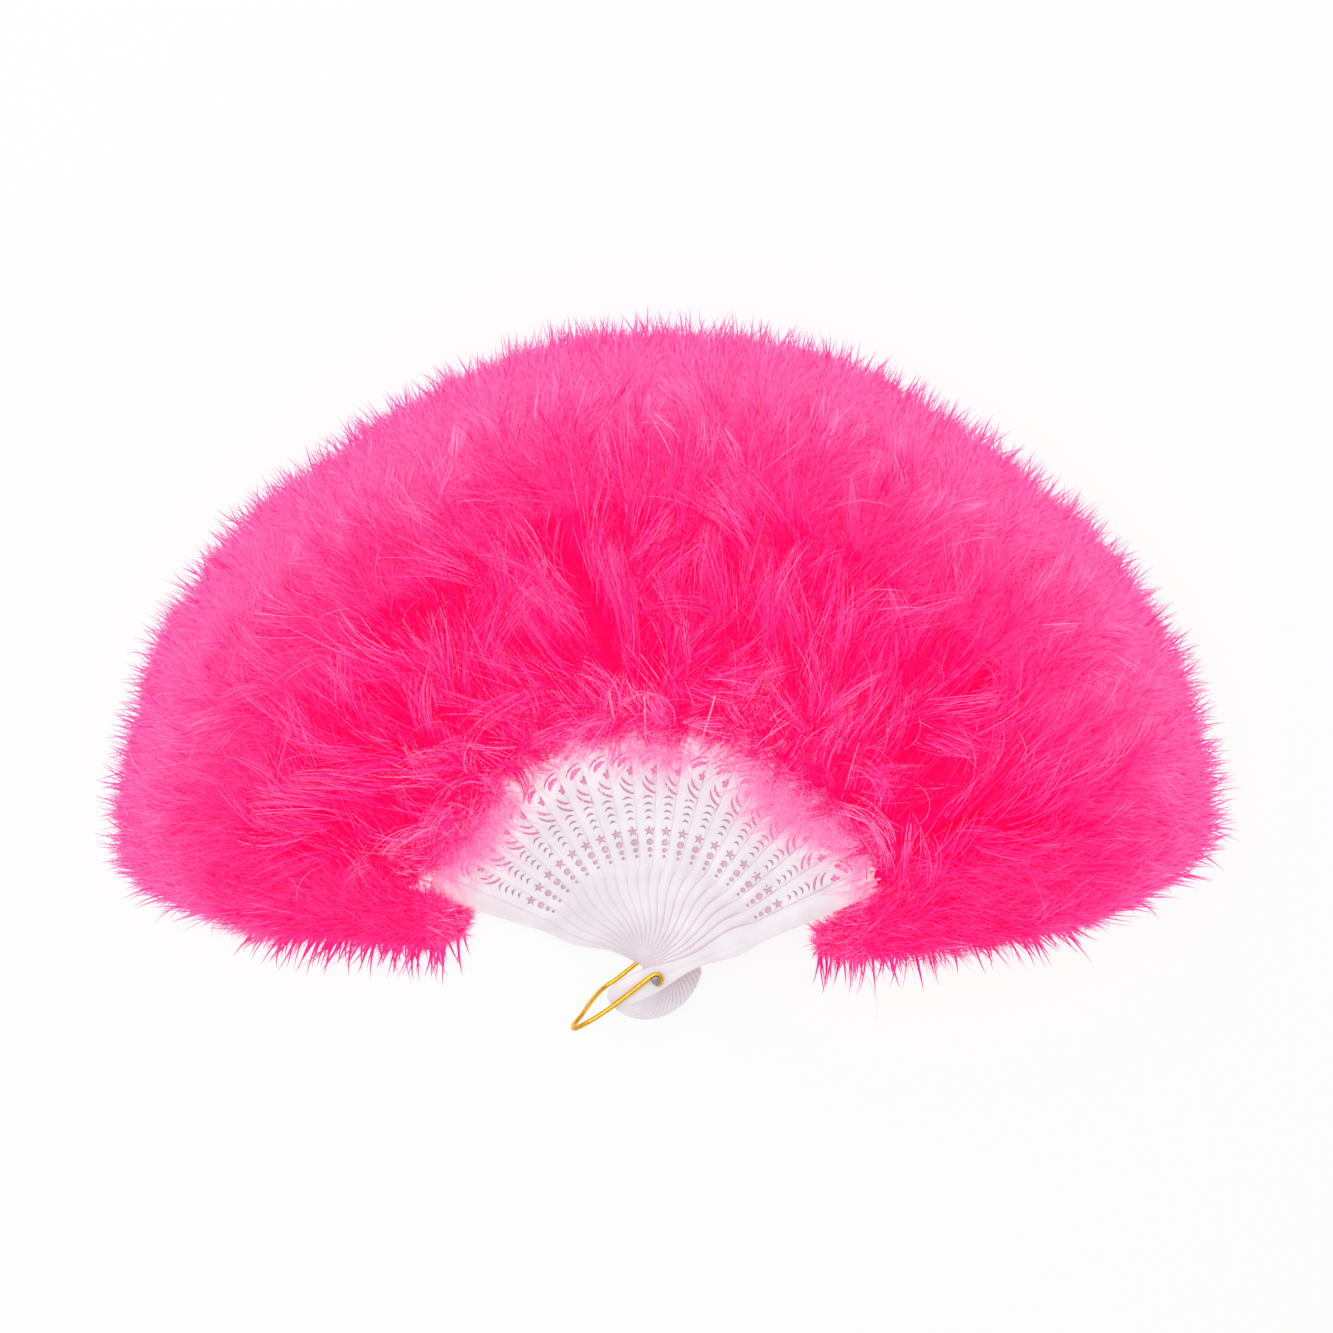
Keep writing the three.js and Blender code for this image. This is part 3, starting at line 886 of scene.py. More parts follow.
@dataclass(frozen=True)
class LinkingThread:
    """The thread that stops the sticks at the full spread: a span from each stick's hole to the next."""

    radius: float = 0.00015
    knot_radius: float = 0.0006
    clearance: float = 0.00025
    slack_share: float = 0.05
    knot_turns: int = 9
    knot_slant: int = 4
    knot_depth: float = 0.12

    def hole(self, layer: Layer, blades: Blades) -> Vector:
        """Returns the middle of a layer's thread hole."""
        return layer.turn() @ Vector((*blades.thread_place, layer.middle))

    def build(self, layers: Sequence[Layer], blades: Blades, material: bpy.types.Material) -> None:
        """Models each span.

        Args:
            layers: The stack.
            blades: The sticks, for the places of their holes.
            material: The thread.
        """
        for layer, above in zip(layers, layers[1:]):
            here, there = self.hole(layer, blades), self.hole(above, blades)
            lift = Vector((0, 0, 1))
            points = [
                here - lift * (here.z - layer.bottom + self.clearance),
                here + lift * (layer.top - here.z + self.clearance),
                here.lerp(there, 0.5) + lift * ((layer.top + above.bottom) / 2 - here.lerp(there, 0.5).z),
                there - lift * (there.z - above.bottom + self.clearance),
            ]
            piece = wire(f"thread_{layer.label}", points, self.radius, 1)
            nodes = ["linking_thread"] if layer.number == 0 else []
            settle(piece, layer.body, material, nodes)
            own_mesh(piece)
        for layer, height in ((layers[0], layers[0].bottom), (layers[-1], layers[-1].top)):
            self.knot(layer, blades, height, material)

    def knot(self, layer: Layer, blades: Blades, height: float, material: bpy.types.Material) -> None:
        """Models the thread's end knot, a lumpy bead on the outside of a guard."""
        outward = 1 if height > layer.middle else -1
        place = self.hole(layer, blades)
        place.z = height + outward * self.knot_radius
        piece = primitive(
            bpy.ops.mesh.primitive_ico_sphere_add, subdivisions=3, radius=self.knot_radius, location=place
        )
        piece.name = f"knot_{layer.label}"
        bpy.ops.object.transform_apply(location=True, rotation=True, scale=True)
        for vertex in piece.data.vertices:
            off = vertex.co - place
            twist = math.sin(self.knot_turns * math.atan2(off.y, off.x) + off.z / self.knot_radius * self.knot_slant)
            vertex.co = place + off * (1 + self.knot_depth * twist)
        clean_mesh(piece, 60.0)
        settle(piece, layer.body, material)


@dataclass(frozen=True)
class FeatherFinishes:
    """The materials of the feathers."""

    down: bpy.types.Material
    veil: bpy.types.Material
    shade_lining: bpy.types.Material
    horn: bpy.types.Material


@dataclass(frozen=True)
class Feather:
    """One marabou feather in its stick's frame: where its quill runs and what space its down fills.

    The lean is its turn from the stick, to the left. The free side is 1 where no feather lies to its left, -1 where
    none lies to its right, and 0 inside the crown. A drooping feather hangs beside its guard.
    """

    lean: float
    azimuth: float
    root: float
    extra: float
    level: float
    veil: float
    density: float
    free_side: int
    on_guard: bool
    drooping: bool
    seed: int


@dataclass
class Barbs:
    """A set of barbs, with one row for each barb and one column for each point along it."""

    points: np.ndarray
    facing: np.ndarray
    width: np.ndarray
    tone: np.ndarray


@dataclass
class Roots:
    """Where barbs start, and how they go on."""

    start: np.ndarray
    heading: np.ndarray
    length: np.ndarray
    curl: np.ndarray
    fall: np.ndarray

    def near(self, own: np.ndarray, scatter: np.ndarray, rng: np.random.Generator) -> "Roots":
        """Returns roots scattered round some of these.

        Args:
            own: The number of the root that each new one lies near.
            scatter: How far the new ones lie off each of these.
            rng: The source of the scatter.

        Returns:
            The new roots.
        """
        count = len(own)
        return Roots(
            self.start[own] + rng.normal(0, 1, (count, 3)) * scatter[own][:, None],
            self.heading[own] + rng.normal(0, 0.08, (count, 3)),
            self.length[own] * rng.uniform(0.6, 1.1, count),
            self.curl[own] + rng.normal(0, 0.25, count),
            self.fall[own] + rng.normal(0, 0.15, count),
        )


@dataclass(frozen=True)
class Tuft:
    """How barbs of one sort grow.

    The lengths and the shares of the width are ranges. The fall and the tone are middle values with their scatter,
    and the curl and the roll are scatters round 0.
    """

    count: int
    lengths: Pair
    curl: float
    fall: Pair
    width: float
    roll: float
    tone: Pair
    steps: int = 3
    width_shares: Pair = (0.6, 1.2)


@dataclass(frozen=True)
class Plumes:
    """The crown of feathers: quills on the sticks, and down that hides them.

    The outline gives the crown's radius by angle, and the hem gives where the feathers of a stick begin and how much
    veil they have. A bunch gives the lean and the start of the feathers that droop beside a guard. Pairs that end in
    _of are for a plain and a drooping feather. Other pairs run from a feather's inner to its outer part, and those
    with plural names are ranges.
    """

    outline: tuple[Pair, ...] = (
        *((5.5, 0.1850), (7.3, 0.2030), (9.2, 0.2250), (11.6, 0.2475), (14.5, 0.2615), (18.0, 0.2640)),
        *((24.0, 0.2668), (32.0, 0.2740), (48.0, 0.2762), (64.0, 0.2794), (70.0, 0.2828), (78.0, 0.2852)),
        *((94.0, 0.2855), (100.0, 0.2838), (108.0, 0.2796), (122.0, 0.2712), (126.0, 0.2730), (132.0, 0.2732)),
        *((140.0, 0.2696), (147.0, 0.2672), (153.0, 0.2595), (163.6, 0.2542), (167.9, 0.2480)),
        *((170.2, 0.2400), (171.9, 0.2280), (172.8, 0.2160), (174.5, 0.1880)),
    )
    reach_scatter: float = 0.0010
    rear_bunch: tuple[Pair, ...] = ((6.4, 0.085), (10.2, 0.086))
    front_bunch: tuple[Pair, ...] = ((-4.8, 0.097), (-9.6, 0.072), (-13.9, 0.071))
    hem: tuple[Triple, ...] = (
        *((24.4, 0.1005, 0.4), (31.2, 0.1055, 0.6), (38.0, 0.1025, 0.8), (44.8, 0.1008, 1.3)),
        *((51.6, 0.0985, 1.8), (58.4, 0.1005, 1.3), (65.2, 0.1040, 0.6), (78.8, 0.1050, 0.2)),
        *((85.6, 0.0992, 0.6), (92.4, 0.1020, 0.6), (99.2, 0.1057, 0.15), (126.4, 0.1055, 0.15)),
        *((133.2, 0.1017, 0.6), (140.0, 0.0994, 0.8), (146.8, 0.1005, 1.0), (153.6, 0.1049, 0.6)),
        (160.4, 0.1110, 0.3),
    )
    bunch_density: float = 2.3
    half_width: float = 3.7
    rise: float = 0.011
    ceiling: float = 0.0235
    rim_margin: float = 0.0158
    squareness: float = 0.75
    nose_start: float = 0.86
    nose_flat: float = 0.98
    root_span_of: Pair = (0.06, 0.15)
    floor_gap: float = 0.0006
    swirls: tuple[Triple, ...] = ((11.0, 4.0, 0.3), (-8.0, 13.0, 1.9), (19.0, -11.0, 4.2), (5.0, 22.0, 5.1))
    swirl_turn: float = 0.6
    wander: float = 0.05
    free_limit: float = 0.8
    locks: int = 180
    strands: int = 20
    lock_share_of: Pair = (1.0, 0.6)
    lock_length: Pair = (0.042, 0.018)
    lock_lift: Pair = (0.40, 0.75)
    lock_scatter: Pair = (0.0026, 0.0024)
    lock_pull: Pair = (0.62, 0.38)
    # Painted shade: the lowest locks are deepest and the highest palest.
    lock_depth_shades: Pair = (-0.32, 0.26)
    lock_width: float = 0.00034
    plush_barbs: int = 3800
    plush_span_of: Pair = (0.42, 0.95)
    plush_tone_of: Pair = (0.34, 0.31)
    plush_rim_tone: float = 0.59
    plush_lift: Pair = (0.95, 0.45)
    plush_length: Pair = (0.0125, 0.0095)
    plush_width: float = 0.00036
    skirt_barbs: int = 800
    skirt_lengths: Pair = (0.007, 0.013)
    end_tuft: Tuft = Tuft(260, (0.006, 0.011), 0.5, (0.1, 0.4), 1.5 * plush_width, 1.0, (0.46, 0.1))
    under_tuft: Tuft = Tuft(300, (0.005, 0.011), 0.5, (0.3, 0.3), 1.4 * plush_width, 0.6, (0.36, 0.1))
    side_tuft: Tuft = Tuft(1500, (0.003, 0.007), 0.4, (0.3, 0.2), 1.2 * plush_width, 0.3, (0.38, 0.09))
    low_side_tuft: Tuft = Tuft(1500, (0.004, 0.009), 0.5, (0.1, 0.3), 1.3 * plush_width, 0.4, (0.38, 0.1))
    root_tuft: Tuft = Tuft(320, (0.006, 0.014), 1.2, (0.3, 0.3), 0.75 * plush_width, 0.45, (0.56, 0.12), 4)
    spike_tuft: Tuft = Tuft(165, (0.007, 0.0195), 0.3, (0.2, 0.2), 0.00108, 0.2, (0.58, 0.08), 4, (0.6, 1.1))
    fringe_tuft: Tuft = Tuft(130, (0.010, 0.022), 0.3, (0.15, 0.15), 0.00108, 0.2, (0.36, 0.08), 4, (0.9, 1.6))
    root_band_of: Pair = (0.06, 0.14)
    root_reach_of: Pair = (1.0, 1.8)
    droop_roots: float = 3.0
    guard_wildness: float = 0.3
    wisps: int = 9
    wisp_lengths: Pair = (0.020, 0.044)
    wisp_width: float = 0.00022
    veil_barbs: int = 215
    veil_back: float = 0.003
    veil_height: float = 0.0028
    veil_box: Triple = (0.0035, 0.0080, 0.0023)
    veil_shortest: float = 0.003
    veil_longest: float = 0.026
    veil_mean: float = 0.0050
    veil_gain: float = 0.0035
    veil_gap: float = 0.0004
    veil_width: float = 0.00013
    # A sheet of down behind each stick, coloured as painted shade for its piercings.
    shade_lining_barbs: int = 320
    shade_lining_span: Pair = (0.046, 0.1040)
    shade_lining_start: float = 0.006
    shade_lining_inset: float = 0.0014
    shade_lining_lengths: Pair = (0.007, 0.014)
    shade_lining_depths: Pair = (0.00010, 0.00040)
    shade_lining_width: float = 0.0009
    tip_width: float = 0.00006
    core_rings: int = 22
    core_sides: int = 16
    quill_back: float = 0.006
    quill_length: float = 0.020
    quill_radius: float = 0.0006
    quill_flat: float = 0.003
    quill_lift: float = 0.003
    bare_quills: tuple[tuple[int, float], ...] = ((9, 0.014), (10, 0.012), (12, 0.017))
    closed_share: float = 0.12

    def feathers(self, layer: Layer) -> list[Feather]:
        """Returns the feathers of a layer, the main one first: one on a stick, and a drooping bunch on a guard."""
        rng = np.random.default_rng(1000 + layer.number)
        bunches = {Kind.REAR_GUARD: self.rear_bunch, Kind.FRONT_GUARD: self.front_bunch}
        angles, roots, veils = zip(*self.hem)
        bunch = ((0.0, float(np.interp(layer.angle, angles, roots))), *bunches.get(layer.kind, ()))
        veil = float(np.interp(layer.angle, angles, veils))
        found = []
        for i, (lean, root) in enumerate(bunch):
            last = layer.is_guard and i == len(bunch) - 1
            feather = Feather(
                lean=lean,
                azimuth=layer.angle + lean,
                root=root,
                extra=rng.uniform(-1, 1) * self.reach_scatter,
                level=layer.top,
                veil=veil,
                density=min(1.0, self.bunch_density / len(bunch)),
                free_side=int(math.copysign(1, lean)) if last else 0,
                on_guard=layer.is_guard,
                drooping=i > 0,
                seed=100 * layer.number + i,
            )
            found.append(feather)
        return found

    def skin(self, feather: Feather, share: np.ndarray, turn: np.ndarray) -> np.ndarray:
        """Returns points on the skin of a feather's thick down, which ends along the crown's outline.

        Args:
            feather: The feather.
            share: How far along it, from 0 at its root to 1 at its rim.
            turn: How far round it, in radians from straight up towards the left.

        Returns:
            The points.
        """
        across, up = (np.sign(v) * np.abs(v) ** self.squareness for v in (np.sin(turn), np.cos(turn)))
        root_end = np.sqrt(blend(0.05, 1.0, ease(0.0, self.root_span_of[feather.drooping], share)))
        into_nose = np.clip((share - self.nose_start) / (1 - self.nose_start), 0, 1)
        nose = np.sqrt(1 - self.nose_flat * into_nose**2)
        aside = self.half_width * across * root_end
        reach = np.interp(feather.azimuth + aside, *zip(*self.outline)) + feather.extra - self.rim_margin
        radius = blend(feather.root, reach, share)
        fullness = blend(0.3, 1.0, ease(0.0, 0.25, share))
        low = np.maximum(feather.level * (1 - fullness), self.floor_gap)
        high = feather.level + self.rise * fullness
        height = (low + high) / 2 + (high - low) / 2 * nose * root_end * up
        return np.stack([radius * np.cos(np.radians(aside)), radius * np.sin(np.radians(aside)), height], axis=-1)

    def sway(self, feather: Feather, points: np.ndarray) -> np.ndarray:
        """Returns how far the down is swept aside at points of a feather, alike for feathers that touch."""
        turn = math.radians(feather.azimuth)
        x = points[..., 0] * math.cos(turn) - points[..., 1] * math.sin(turn)
        y = points[..., 0] * math.sin(turn) + points[..., 1] * math.cos(turn)
        waves = [np.sin(2 * math.pi * (fx * x + fy * y) + phase) for fx, fy, phase in self.swirls]
        return self.swirl_turn * sum(waves) / math.sqrt(len(waves))

    def spread(self, count: int, rng: np.random.Generator) -> np.ndarray:
        """Returns turns round a feather that lie evenly across its top."""
        across = rng.uniform(-1, 1, count)
        return np.sign(across) * np.arcsin(np.abs(across) ** (1 / self.squareness))

    @staticmethod
    def outward(turn: np.ndarray, ahead: Any, aside: Any, up: Any) -> np.ndarray:
        """Returns headings that go ahead along the quill, and aside and up from it, by the given amounts."""
        return np.stack([ahead + np.zeros(len(turn)), aside * np.sin(turn), up * np.cos(turn)], axis=1)

    @staticmethod
    def turned(heading: np.ndarray, angle: np.ndarray) -> np.ndarray:
        """Returns headings turned about the upright, in radians."""
        x, y, z = heading.T
        return np.stack([x * np.cos(angle) - y * np.sin(angle), x * np.sin(angle) + y * np.cos(angle), z], axis=1)

    @staticmethod
    def facing(turn: np.ndarray, roll: float, rng: np.random.Generator) -> np.ndarray:
        """Returns which way flat barbs face: away from the quill, with some roll."""
        face = np.stack([np.zeros(len(turn)), np.sin(turn), np.cos(turn) + 0.6], axis=1)
        return face + rng.normal(0, roll, face.shape)

    def grow(self, roots: Roots, steps: int, rng: np.random.Generator) -> np.ndarray:
        """Grows barbs step by step, with their curl, their fall and a little wander.

        Args:
            roots: Where they start and how they go on.
            steps: Number of spans along each barb.
            rng: The source of the wander.

        Returns:
            The barbs' points.
        """
        way = roots.heading / np.linalg.norm(roots.heading, axis=1, keepdims=True)
        points = [roots.start]
        cos, sin = np.cos(roots.curl / steps), np.sin(roots.curl / steps)
        for _ in range(steps):
            x, y, z = way.T
            way = np.stack([x * cos - y * sin, x * sin + y * cos, z - roots.fall / steps], axis=1)
            way += rng.normal(0, self.wander, way.shape)
            way /= np.linalg.norm(way, axis=1, keepdims=True)
            points.append(points[-1] + way * (roots.length / steps)[:, None])
        return np.stack(points, axis=1)

    def tuft(
        self,
        sort: Tuft,
        start: np.ndarray,
        heading: np.ndarray,
        turn: np.ndarray,
        rng: np.random.Generator,
        reach: float = 1.0,
        wild: float = 1.0,
    ) -> Barbs:
        """Grows barbs of one sort.

        Args:
            sort: How they grow.
            start: Where each starts.
            heading: Which way each sets out.
            turn: Where each lies round the feather.
            rng: The source of their differences.
            reach: What their lengths are multiplied by.
            wild: What their curl is multiplied by.

        Returns:
            The barbs.
        """
        count = len(start)
        length = reach * rng.uniform(*sort.lengths, count)
        roots = Roots(start, heading, length, wild * rng.normal(0, sort.curl, count), rng.normal(*sort.fall, count))
        width = sort.width * rng.uniform(*sort.width_shares, count)
        points, facing = self.grow(roots, sort.steps, rng), self.facing(turn, sort.roll, rng)
        return Barbs(points, facing, width, rng.normal(*sort.tone, count))

    def coat(self, feather: Feather, rng: np.random.Generator) -> Barbs:
        """Grows the long, swept down of a feather's middle, in locks that draw together towards their tips."""
        portion = self.lock_share_of[feather.drooping]
        count, steps = int(self.locks * feather.density * portion), 5
        share = 0.86 * rng.uniform(0, 1, count) ** 0.8
        turn = np.clip(rng.normal(0, 0.8, count), -1.7, 1.7)
        turn = np.where(feather.free_side * turn > self.free_limit, -turn, turn)
        start = self.skin(feather, share, turn)
        inner, outer = 1 - ease(0.0, 0.25, share), ease(0.5, 0.86, share)
        lift_rank = rng.uniform(0, 1, count)
        lift = blend(*self.lock_lift, outer) * blend(0.5, 1.4, lift_rank)
        heading = self.outward(turn, 1.0, lift, lift)
        stray = blend(0.16, 0.4 if feather.on_guard else 1.1, inner)
        swing = self.sway(feather, start) + rng.normal(0, 1, count) * stray
        curl = rng.normal(0, 1, count) * blend(0.45, 1.2, inner)
        if feather.free_side:
            held = ease(-0.6, 0.3, feather.free_side * np.sin(turn))
            swing, curl = (v - held * np.maximum(0, feather.free_side * v) * feather.free_side for v in (swing, curl))
        length = blend(*self.lock_length, outer) * blend(1.0, 0.65, inner) * rng.uniform(0.7, 1.1, count) * portion
        fall = blend(1.0, 0.7, outer) + rng.normal(0, 0.2, count)
        leads = Roots(start, self.turned(heading, swing), length, curl, fall)
        own = np.repeat(np.arange(count), self.strands)
        lead = self.grow(leads, steps, rng)
        points = self.grow(leads.near(own, blend(*self.lock_scatter, outer), rng), steps, rng)
        pull = np.clip(blend(*self.lock_pull, outer) * rng.uniform(0.4, 1.5, count), 0, 0.9)[own]
        along = np.linspace(0.0, 1.0, steps + 1)[None, :, None]
        points += (lead[own] - points) * pull[:, None, None] * along**1.4
        # Painted shade by depth: locks that lie low take a deeper tone, and locks that lift high a paler one.
        pale = blend(*self.lock_depth_shades, ease(0.3, 0.75, lift_rank)) * blend(1.0, 0.4, outer) + rng.normal(0, 0.07, count)
        tone = (0.205 + 0.29 * outer + 0.27 * inner + pale)[own] + rng.normal(0, 0.11, len(own))
        width = self.lock_width * rng.uniform(0.5, 1.2, len(own))
        return Barbs(points, self.facing(turn[own], 0.45, rng), width, tone)

    def plush(self, feather: Feather, rng: np.random.Generator) -> Barbs:
        """Grows the short, even down of a feather's outer band, which stands up and out like velvet."""
        count = int(self.plush_barbs * feather.density)
        share = 1 - self.plush_span_of[feather.drooping] * rng.uniform(0, 1, count) ** 1.15
        turn = self.spread(count, rng)
        turn = np.where((share < 0.6) & (feather.free_side * turn > self.free_limit), -turn, turn)
        start = self.skin(feather, share, turn)
        outer = ease(0.72, 1.0, share)
        lift = blend(*self.plush_lift, outer)
        heading = self.outward(turn, blend(0.8, 1.2, outer), lift, lift)
        heading = self.turned(heading, 0.5 * self.sway(feather, start) + rng.normal(0, 0.22, count))
        length = blend(*self.plush_length, outer) * rng.uniform(0.65, 1.15, count)
        roots = Roots(start, heading, length, rng.normal(0, 0.4, count), rng.normal(0.4, 0.2, count))
        tone = blend(self.plush_tone_of[feather.drooping], self.plush_rim_tone, ease(0.64, 0.9, share))
        tone += rng.normal(0, 1, count) * blend(0.06, 0.02, ease(0.66, 0.84, share))
        width = self.plush_width * rng.uniform(0.6, 1.2, count)
        return Barbs(self.grow(roots, 3, rng), self.facing(turn, 0.25, rng), width, tone)

    def skirt(self, feather: Feather, rng: np.random.Generator) -> Barbs:
        """Grows the down on the lower part of a feather's rim."""
        count = int(self.skirt_barbs * feather.density)
        share = np.minimum(1.0, rng.uniform(0.86, 1.04, count))
        turn = rng.choice([-1, 1], count) * rng.uniform(1.2, math.pi, count)
        start = self.skin(feather, share, turn)
        heading = self.outward(turn, 1.0, 0.5, 0.4)
        heading += rng.normal(0, 0.3, heading.shape)
        length = rng.uniform(*self.skirt_lengths, count)
        roots = Roots(start, heading, length, rng.normal(0, 0.4, count), rng.normal(0.2, 0.2, count))
        tone = rng.normal(0.46, 0.08, count)
        width = 1.4 * self.plush_width * rng.uniform(0.6, 1.2, count)
        return Barbs(self.grow(roots, 3, rng), self.facing(turn, 0.3, rng), width, tone)

    def blunt_end(self, feather: Feather, rng: np.random.Generator) -> Barbs:
        """Grows the ruffled down on the face of a feather's outer end."""
        count = int(self.end_tuft.count * feather.density)
        turn = rng.uniform(-math.pi / 2, math.pi / 2, count)
        above, below = (self.skin(feather, np.ones(count), t) for t in (turn, math.pi - turn))
        start = above + (below - above) * rng.uniform(0, 1, (count, 1))
        heading = np.array([1.0, 0.0, 0.0]) + rng.normal(0, 0.55, (count, 3))
        return self.tuft(self.end_tuft, start, heading, turn, rng)

    def underside(self, feather: Feather, rng: np.random.Generator) -> Barbs:
        """Grows the short down under a feather's inner end."""
        count = int(self.under_tuft.count * feather.density)
        turn = math.pi + rng.normal(0, 0.8, count)
        start = self.skin(feather, rng.uniform(0.0, 0.34, count), turn)
        heading = self.outward(turn, -0.3, 0.7, 0.6)
        heading += rng.normal(0, 0.35, heading.shape)
        return self.tuft(self.under_tuft, start, heading, turn, rng)

    def inner_end(self, feather: Feather, rng: np.random.Generator) -> Barbs:
        """Grows the down on a feather's inner end, towards the rivet."""
        count = int(self.root_tuft.count * (self.droop_roots if feather.drooping else feather.density))
        turn = rng.uniform(-math.pi, math.pi, count)
        start = self.skin(feather, rng.uniform(0.0, self.root_band_of[feather.drooping], count), turn)
        wild = self.guard_wildness if feather.on_guard else 1.0
        across = wild * rng.normal(0, 0.8, count) + (1 - wild) * np.sin(turn)
        heading = np.stack([-0.5 * np.ones(count), across, 0.5 * np.cos(turn)], axis=1)
        reach = blend(0.45, 1.0, min(1.0, feather.veil)) * blend(0.1, 1.0, wild)
        reach *= self.root_reach_of[feather.drooping]
        return self.tuft(self.root_tuft, start, heading, turn, rng, reach, wild)

    def side(self, feather: Feather, rng: np.random.Generator) -> Barbs:
        """Grows the short down on a feather's free side."""
        count = self.side_tuft.count
        turn = feather.free_side * rng.normal(1.5, 0.5, count)
        start = self.skin(feather, rng.uniform(0.02, 1.0, count), turn)
        heading = self.outward(turn, rng.normal(0.35, 0.3, count), 1.0, 0.7)
        return self.tuft(self.side_tuft, start, heading, turn, rng)

    def low_side(self, feather: Feather, rng: np.random.Generator) -> Barbs:
        """Grows the down low on a feather's free side, which meets the floor."""
        count = self.low_side_tuft.count
        turn = feather.free_side * rng.uniform(1.6, 2.9, count)
        start = self.skin(feather, rng.uniform(0.05, 1.0, count), turn)
        heading = self.outward(turn, rng.normal(0.7, 0.5, count), 0.8, 0.2)
        return self.tuft(self.low_side_tuft, start, heading, turn, rng)

    def spikes(self, feather: Feather, rng: np.random.Generator) -> Barbs:
        """Grows the single pointed barbs that stand out from a feather's rim."""
        count = int(self.spike_tuft.count * feather.density)
        turn = self.spread(count, rng)
        start = self.skin(feather, rng.uniform(0.95, 1.0, count), turn)
        heading = self.turned(self.outward(turn, 1.0, 0.15, 0.25), rng.normal(0, 0.2, count))
        return self.tuft(self.spike_tuft, start, heading, turn, rng)

    def fringe(self, feather: Feather, rng: np.random.Generator) -> Barbs:
        """Grows the single pointed barbs that hang from a feather's free side."""
        count = self.fringe_tuft.count
        turn = feather.free_side * rng.normal(1.5, 0.25, count)
        share = rng.uniform(0.0, 1.0, count)
        start = self.skin(feather, share, turn)
        ahead = blend(-0.25, 0.7, share) + rng.normal(0, 0.12, count)
        return self.tuft(self.fringe_tuft, start, self.outward(turn, ahead, 1.0, 0.2), turn, rng)

    def loose(self, feather: Feather, rng: np.random.Generator) -> Barbs:
        """Grows the long pale strands that lie loose on top of the down."""
        count = int(self.wisps * feather.density)
        share = rng.uniform(0.02, 0.75, count)
        turn = rng.normal(0, 0.6, count)
        start = self.skin(feather, share, turn)
        lift = rng.uniform(0.3, 0.6, count)
        heading = self.outward(turn, 1.0, lift, lift)
        heading = self.turned(heading, self.sway(feather, start) + rng.normal(0, 0.3, count))
        length = rng.uniform(*self.wisp_lengths, count)
        roots = Roots(start, heading, length, rng.normal(0, 1.1, count), np.full(count, 0.8))
        width = np.full(count, self.wisp_width)
        return Barbs(self.grow(roots, 7, rng), self.facing(turn, 0.3, rng), width, rng.uniform(0.6, 0.9, count))

    def core(self, feather: Feather) -> tuple[np.ndarray, np.ndarray, np.ndarray]:
        """Shapes the thick of a feather's down, which no light passes through.

        Args:
            feather: The feather.

        Returns:
            The points of its rings, its four-sided faces, and the map place of each point.
        """
        rings, sides = self.core_rings, self.core_sides
        share = np.linspace(0.0, 1.0, rings)[:, None]
        turn = np.arange(sides)[None, :] / sides * 2 * math.pi
        share, turn = np.broadcast_arrays(share, turn)
        points = self.skin(feather, share, turn)
        at = np.arange(rings * sides).reshape(rings, sides)
        ahead = np.roll(at, -1, axis=1)
        walls = np.stack([at[:-1], at[1:], ahead[1:], ahead[:-1]], axis=2).reshape(-1, 4)
        strip = np.arange(sides // 2 - 1)
        cap = np.stack([strip, strip + 1, sides - 2 - strip, sides - 1 - strip], axis=1)
        faces = np.concatenate([walls, at[0][cap], at[-1][cap[:, ::-1]]])
        # Painted shade: the core takes the deepest tone for the shaded depths of the down, and a lighter one in the
        # outer band.
        spots = np.stack([np.full(share.shape, 0.4), 0.02 + 0.5 * ease(0.5, 0.9, share)], axis=2)
        return points.reshape(-1, 3), faces, spots.reshape(-1, 2)

    def ribbons(self, barbs: Barbs, highest: float) -> tuple[np.ndarray, np.ndarray, np.ndarray]:
        """Turns barbs into narrow tapering ribbons.

        Args:
            barbs: The barbs.
            highest: The height that no barb rises above.

        Returns:
            The ribbons' points, their four-sided faces, and the map place of each point.
        """
        count, rows = barbs.points.shape[:2]
        ahead = np.gradient(barbs.points, axis=1)
        across = np.cross(ahead, barbs.facing[:, None, :])
        across /= np.maximum(np.linalg.norm(across, axis=2, keepdims=True), 1e-12)
        along = np.linspace(0.0, 1.0, rows)
        taper = (1 - along**1.4)[None, :] * barbs.width[:, None] + self.tip_width
        reach = across * (taper / 2)[:, :, None]
        points = np.stack([barbs.points - reach, barbs.points + reach], axis=2)
        points[..., 2] = np.clip(points[..., 2], self.floor_gap, highest)
        at = np.arange(count * rows * 2).reshape(count, rows, 2)
        faces = np.stack([at[:, :-1, 0], at[:, :-1, 1], at[:, 1:, 1], at[:, 1:, 0]], axis=2)
        spot = np.zeros((count, rows, 2, 2))
        spot[..., 0] = along[None, :, None]
        spot[..., 1] = np.clip(barbs.tone, 0.02, 0.98)[:, None, None] + np.array([-0.006, 0.006])
        return points.reshape(-1, 3), faces.reshape(-1, 4), spot.reshape(-1, 2)

    def down(self, layer: Layer, feathers: Sequence[Feather]) -> bpy.types.Object:
        """Models the down of a layer's feathers as one piece.

        Args:
            layer: The layer.
            feathers: The feathers.

        Returns:
            The piece.
        """
        points, faces, spots, total = [], [], [], 0
        for feather in feathers:
            rng = np.random.default_rng(feather.seed)
            grown = [self.coat, self.plush, self.skirt, self.inner_end, self.spikes, self.loose]
            grown += [self.side, self.fringe] if feather.free_side else []
            grown += [self.blunt_end, self.underside]
            grown += [self.low_side] if feather.free_side else []
            parts = [self.ribbons(grow(feather, rng), feather.level + self.ceiling) for grow in grown]
            lean = np.array(Matrix.Rotation(math.radians(feather.lean), 3, "Z"))
            for own_points, own_faces, own_spots in [*parts, self.core(feather)]:
                points.append(own_points @ lean.T)
                faces.append(own_faces + total)
                spots.append(own_spots)
                total += len(own_points)
        return self.placed(layer, f"down_{layer.label}", *map(np.concatenate, (points, faces, spots)))

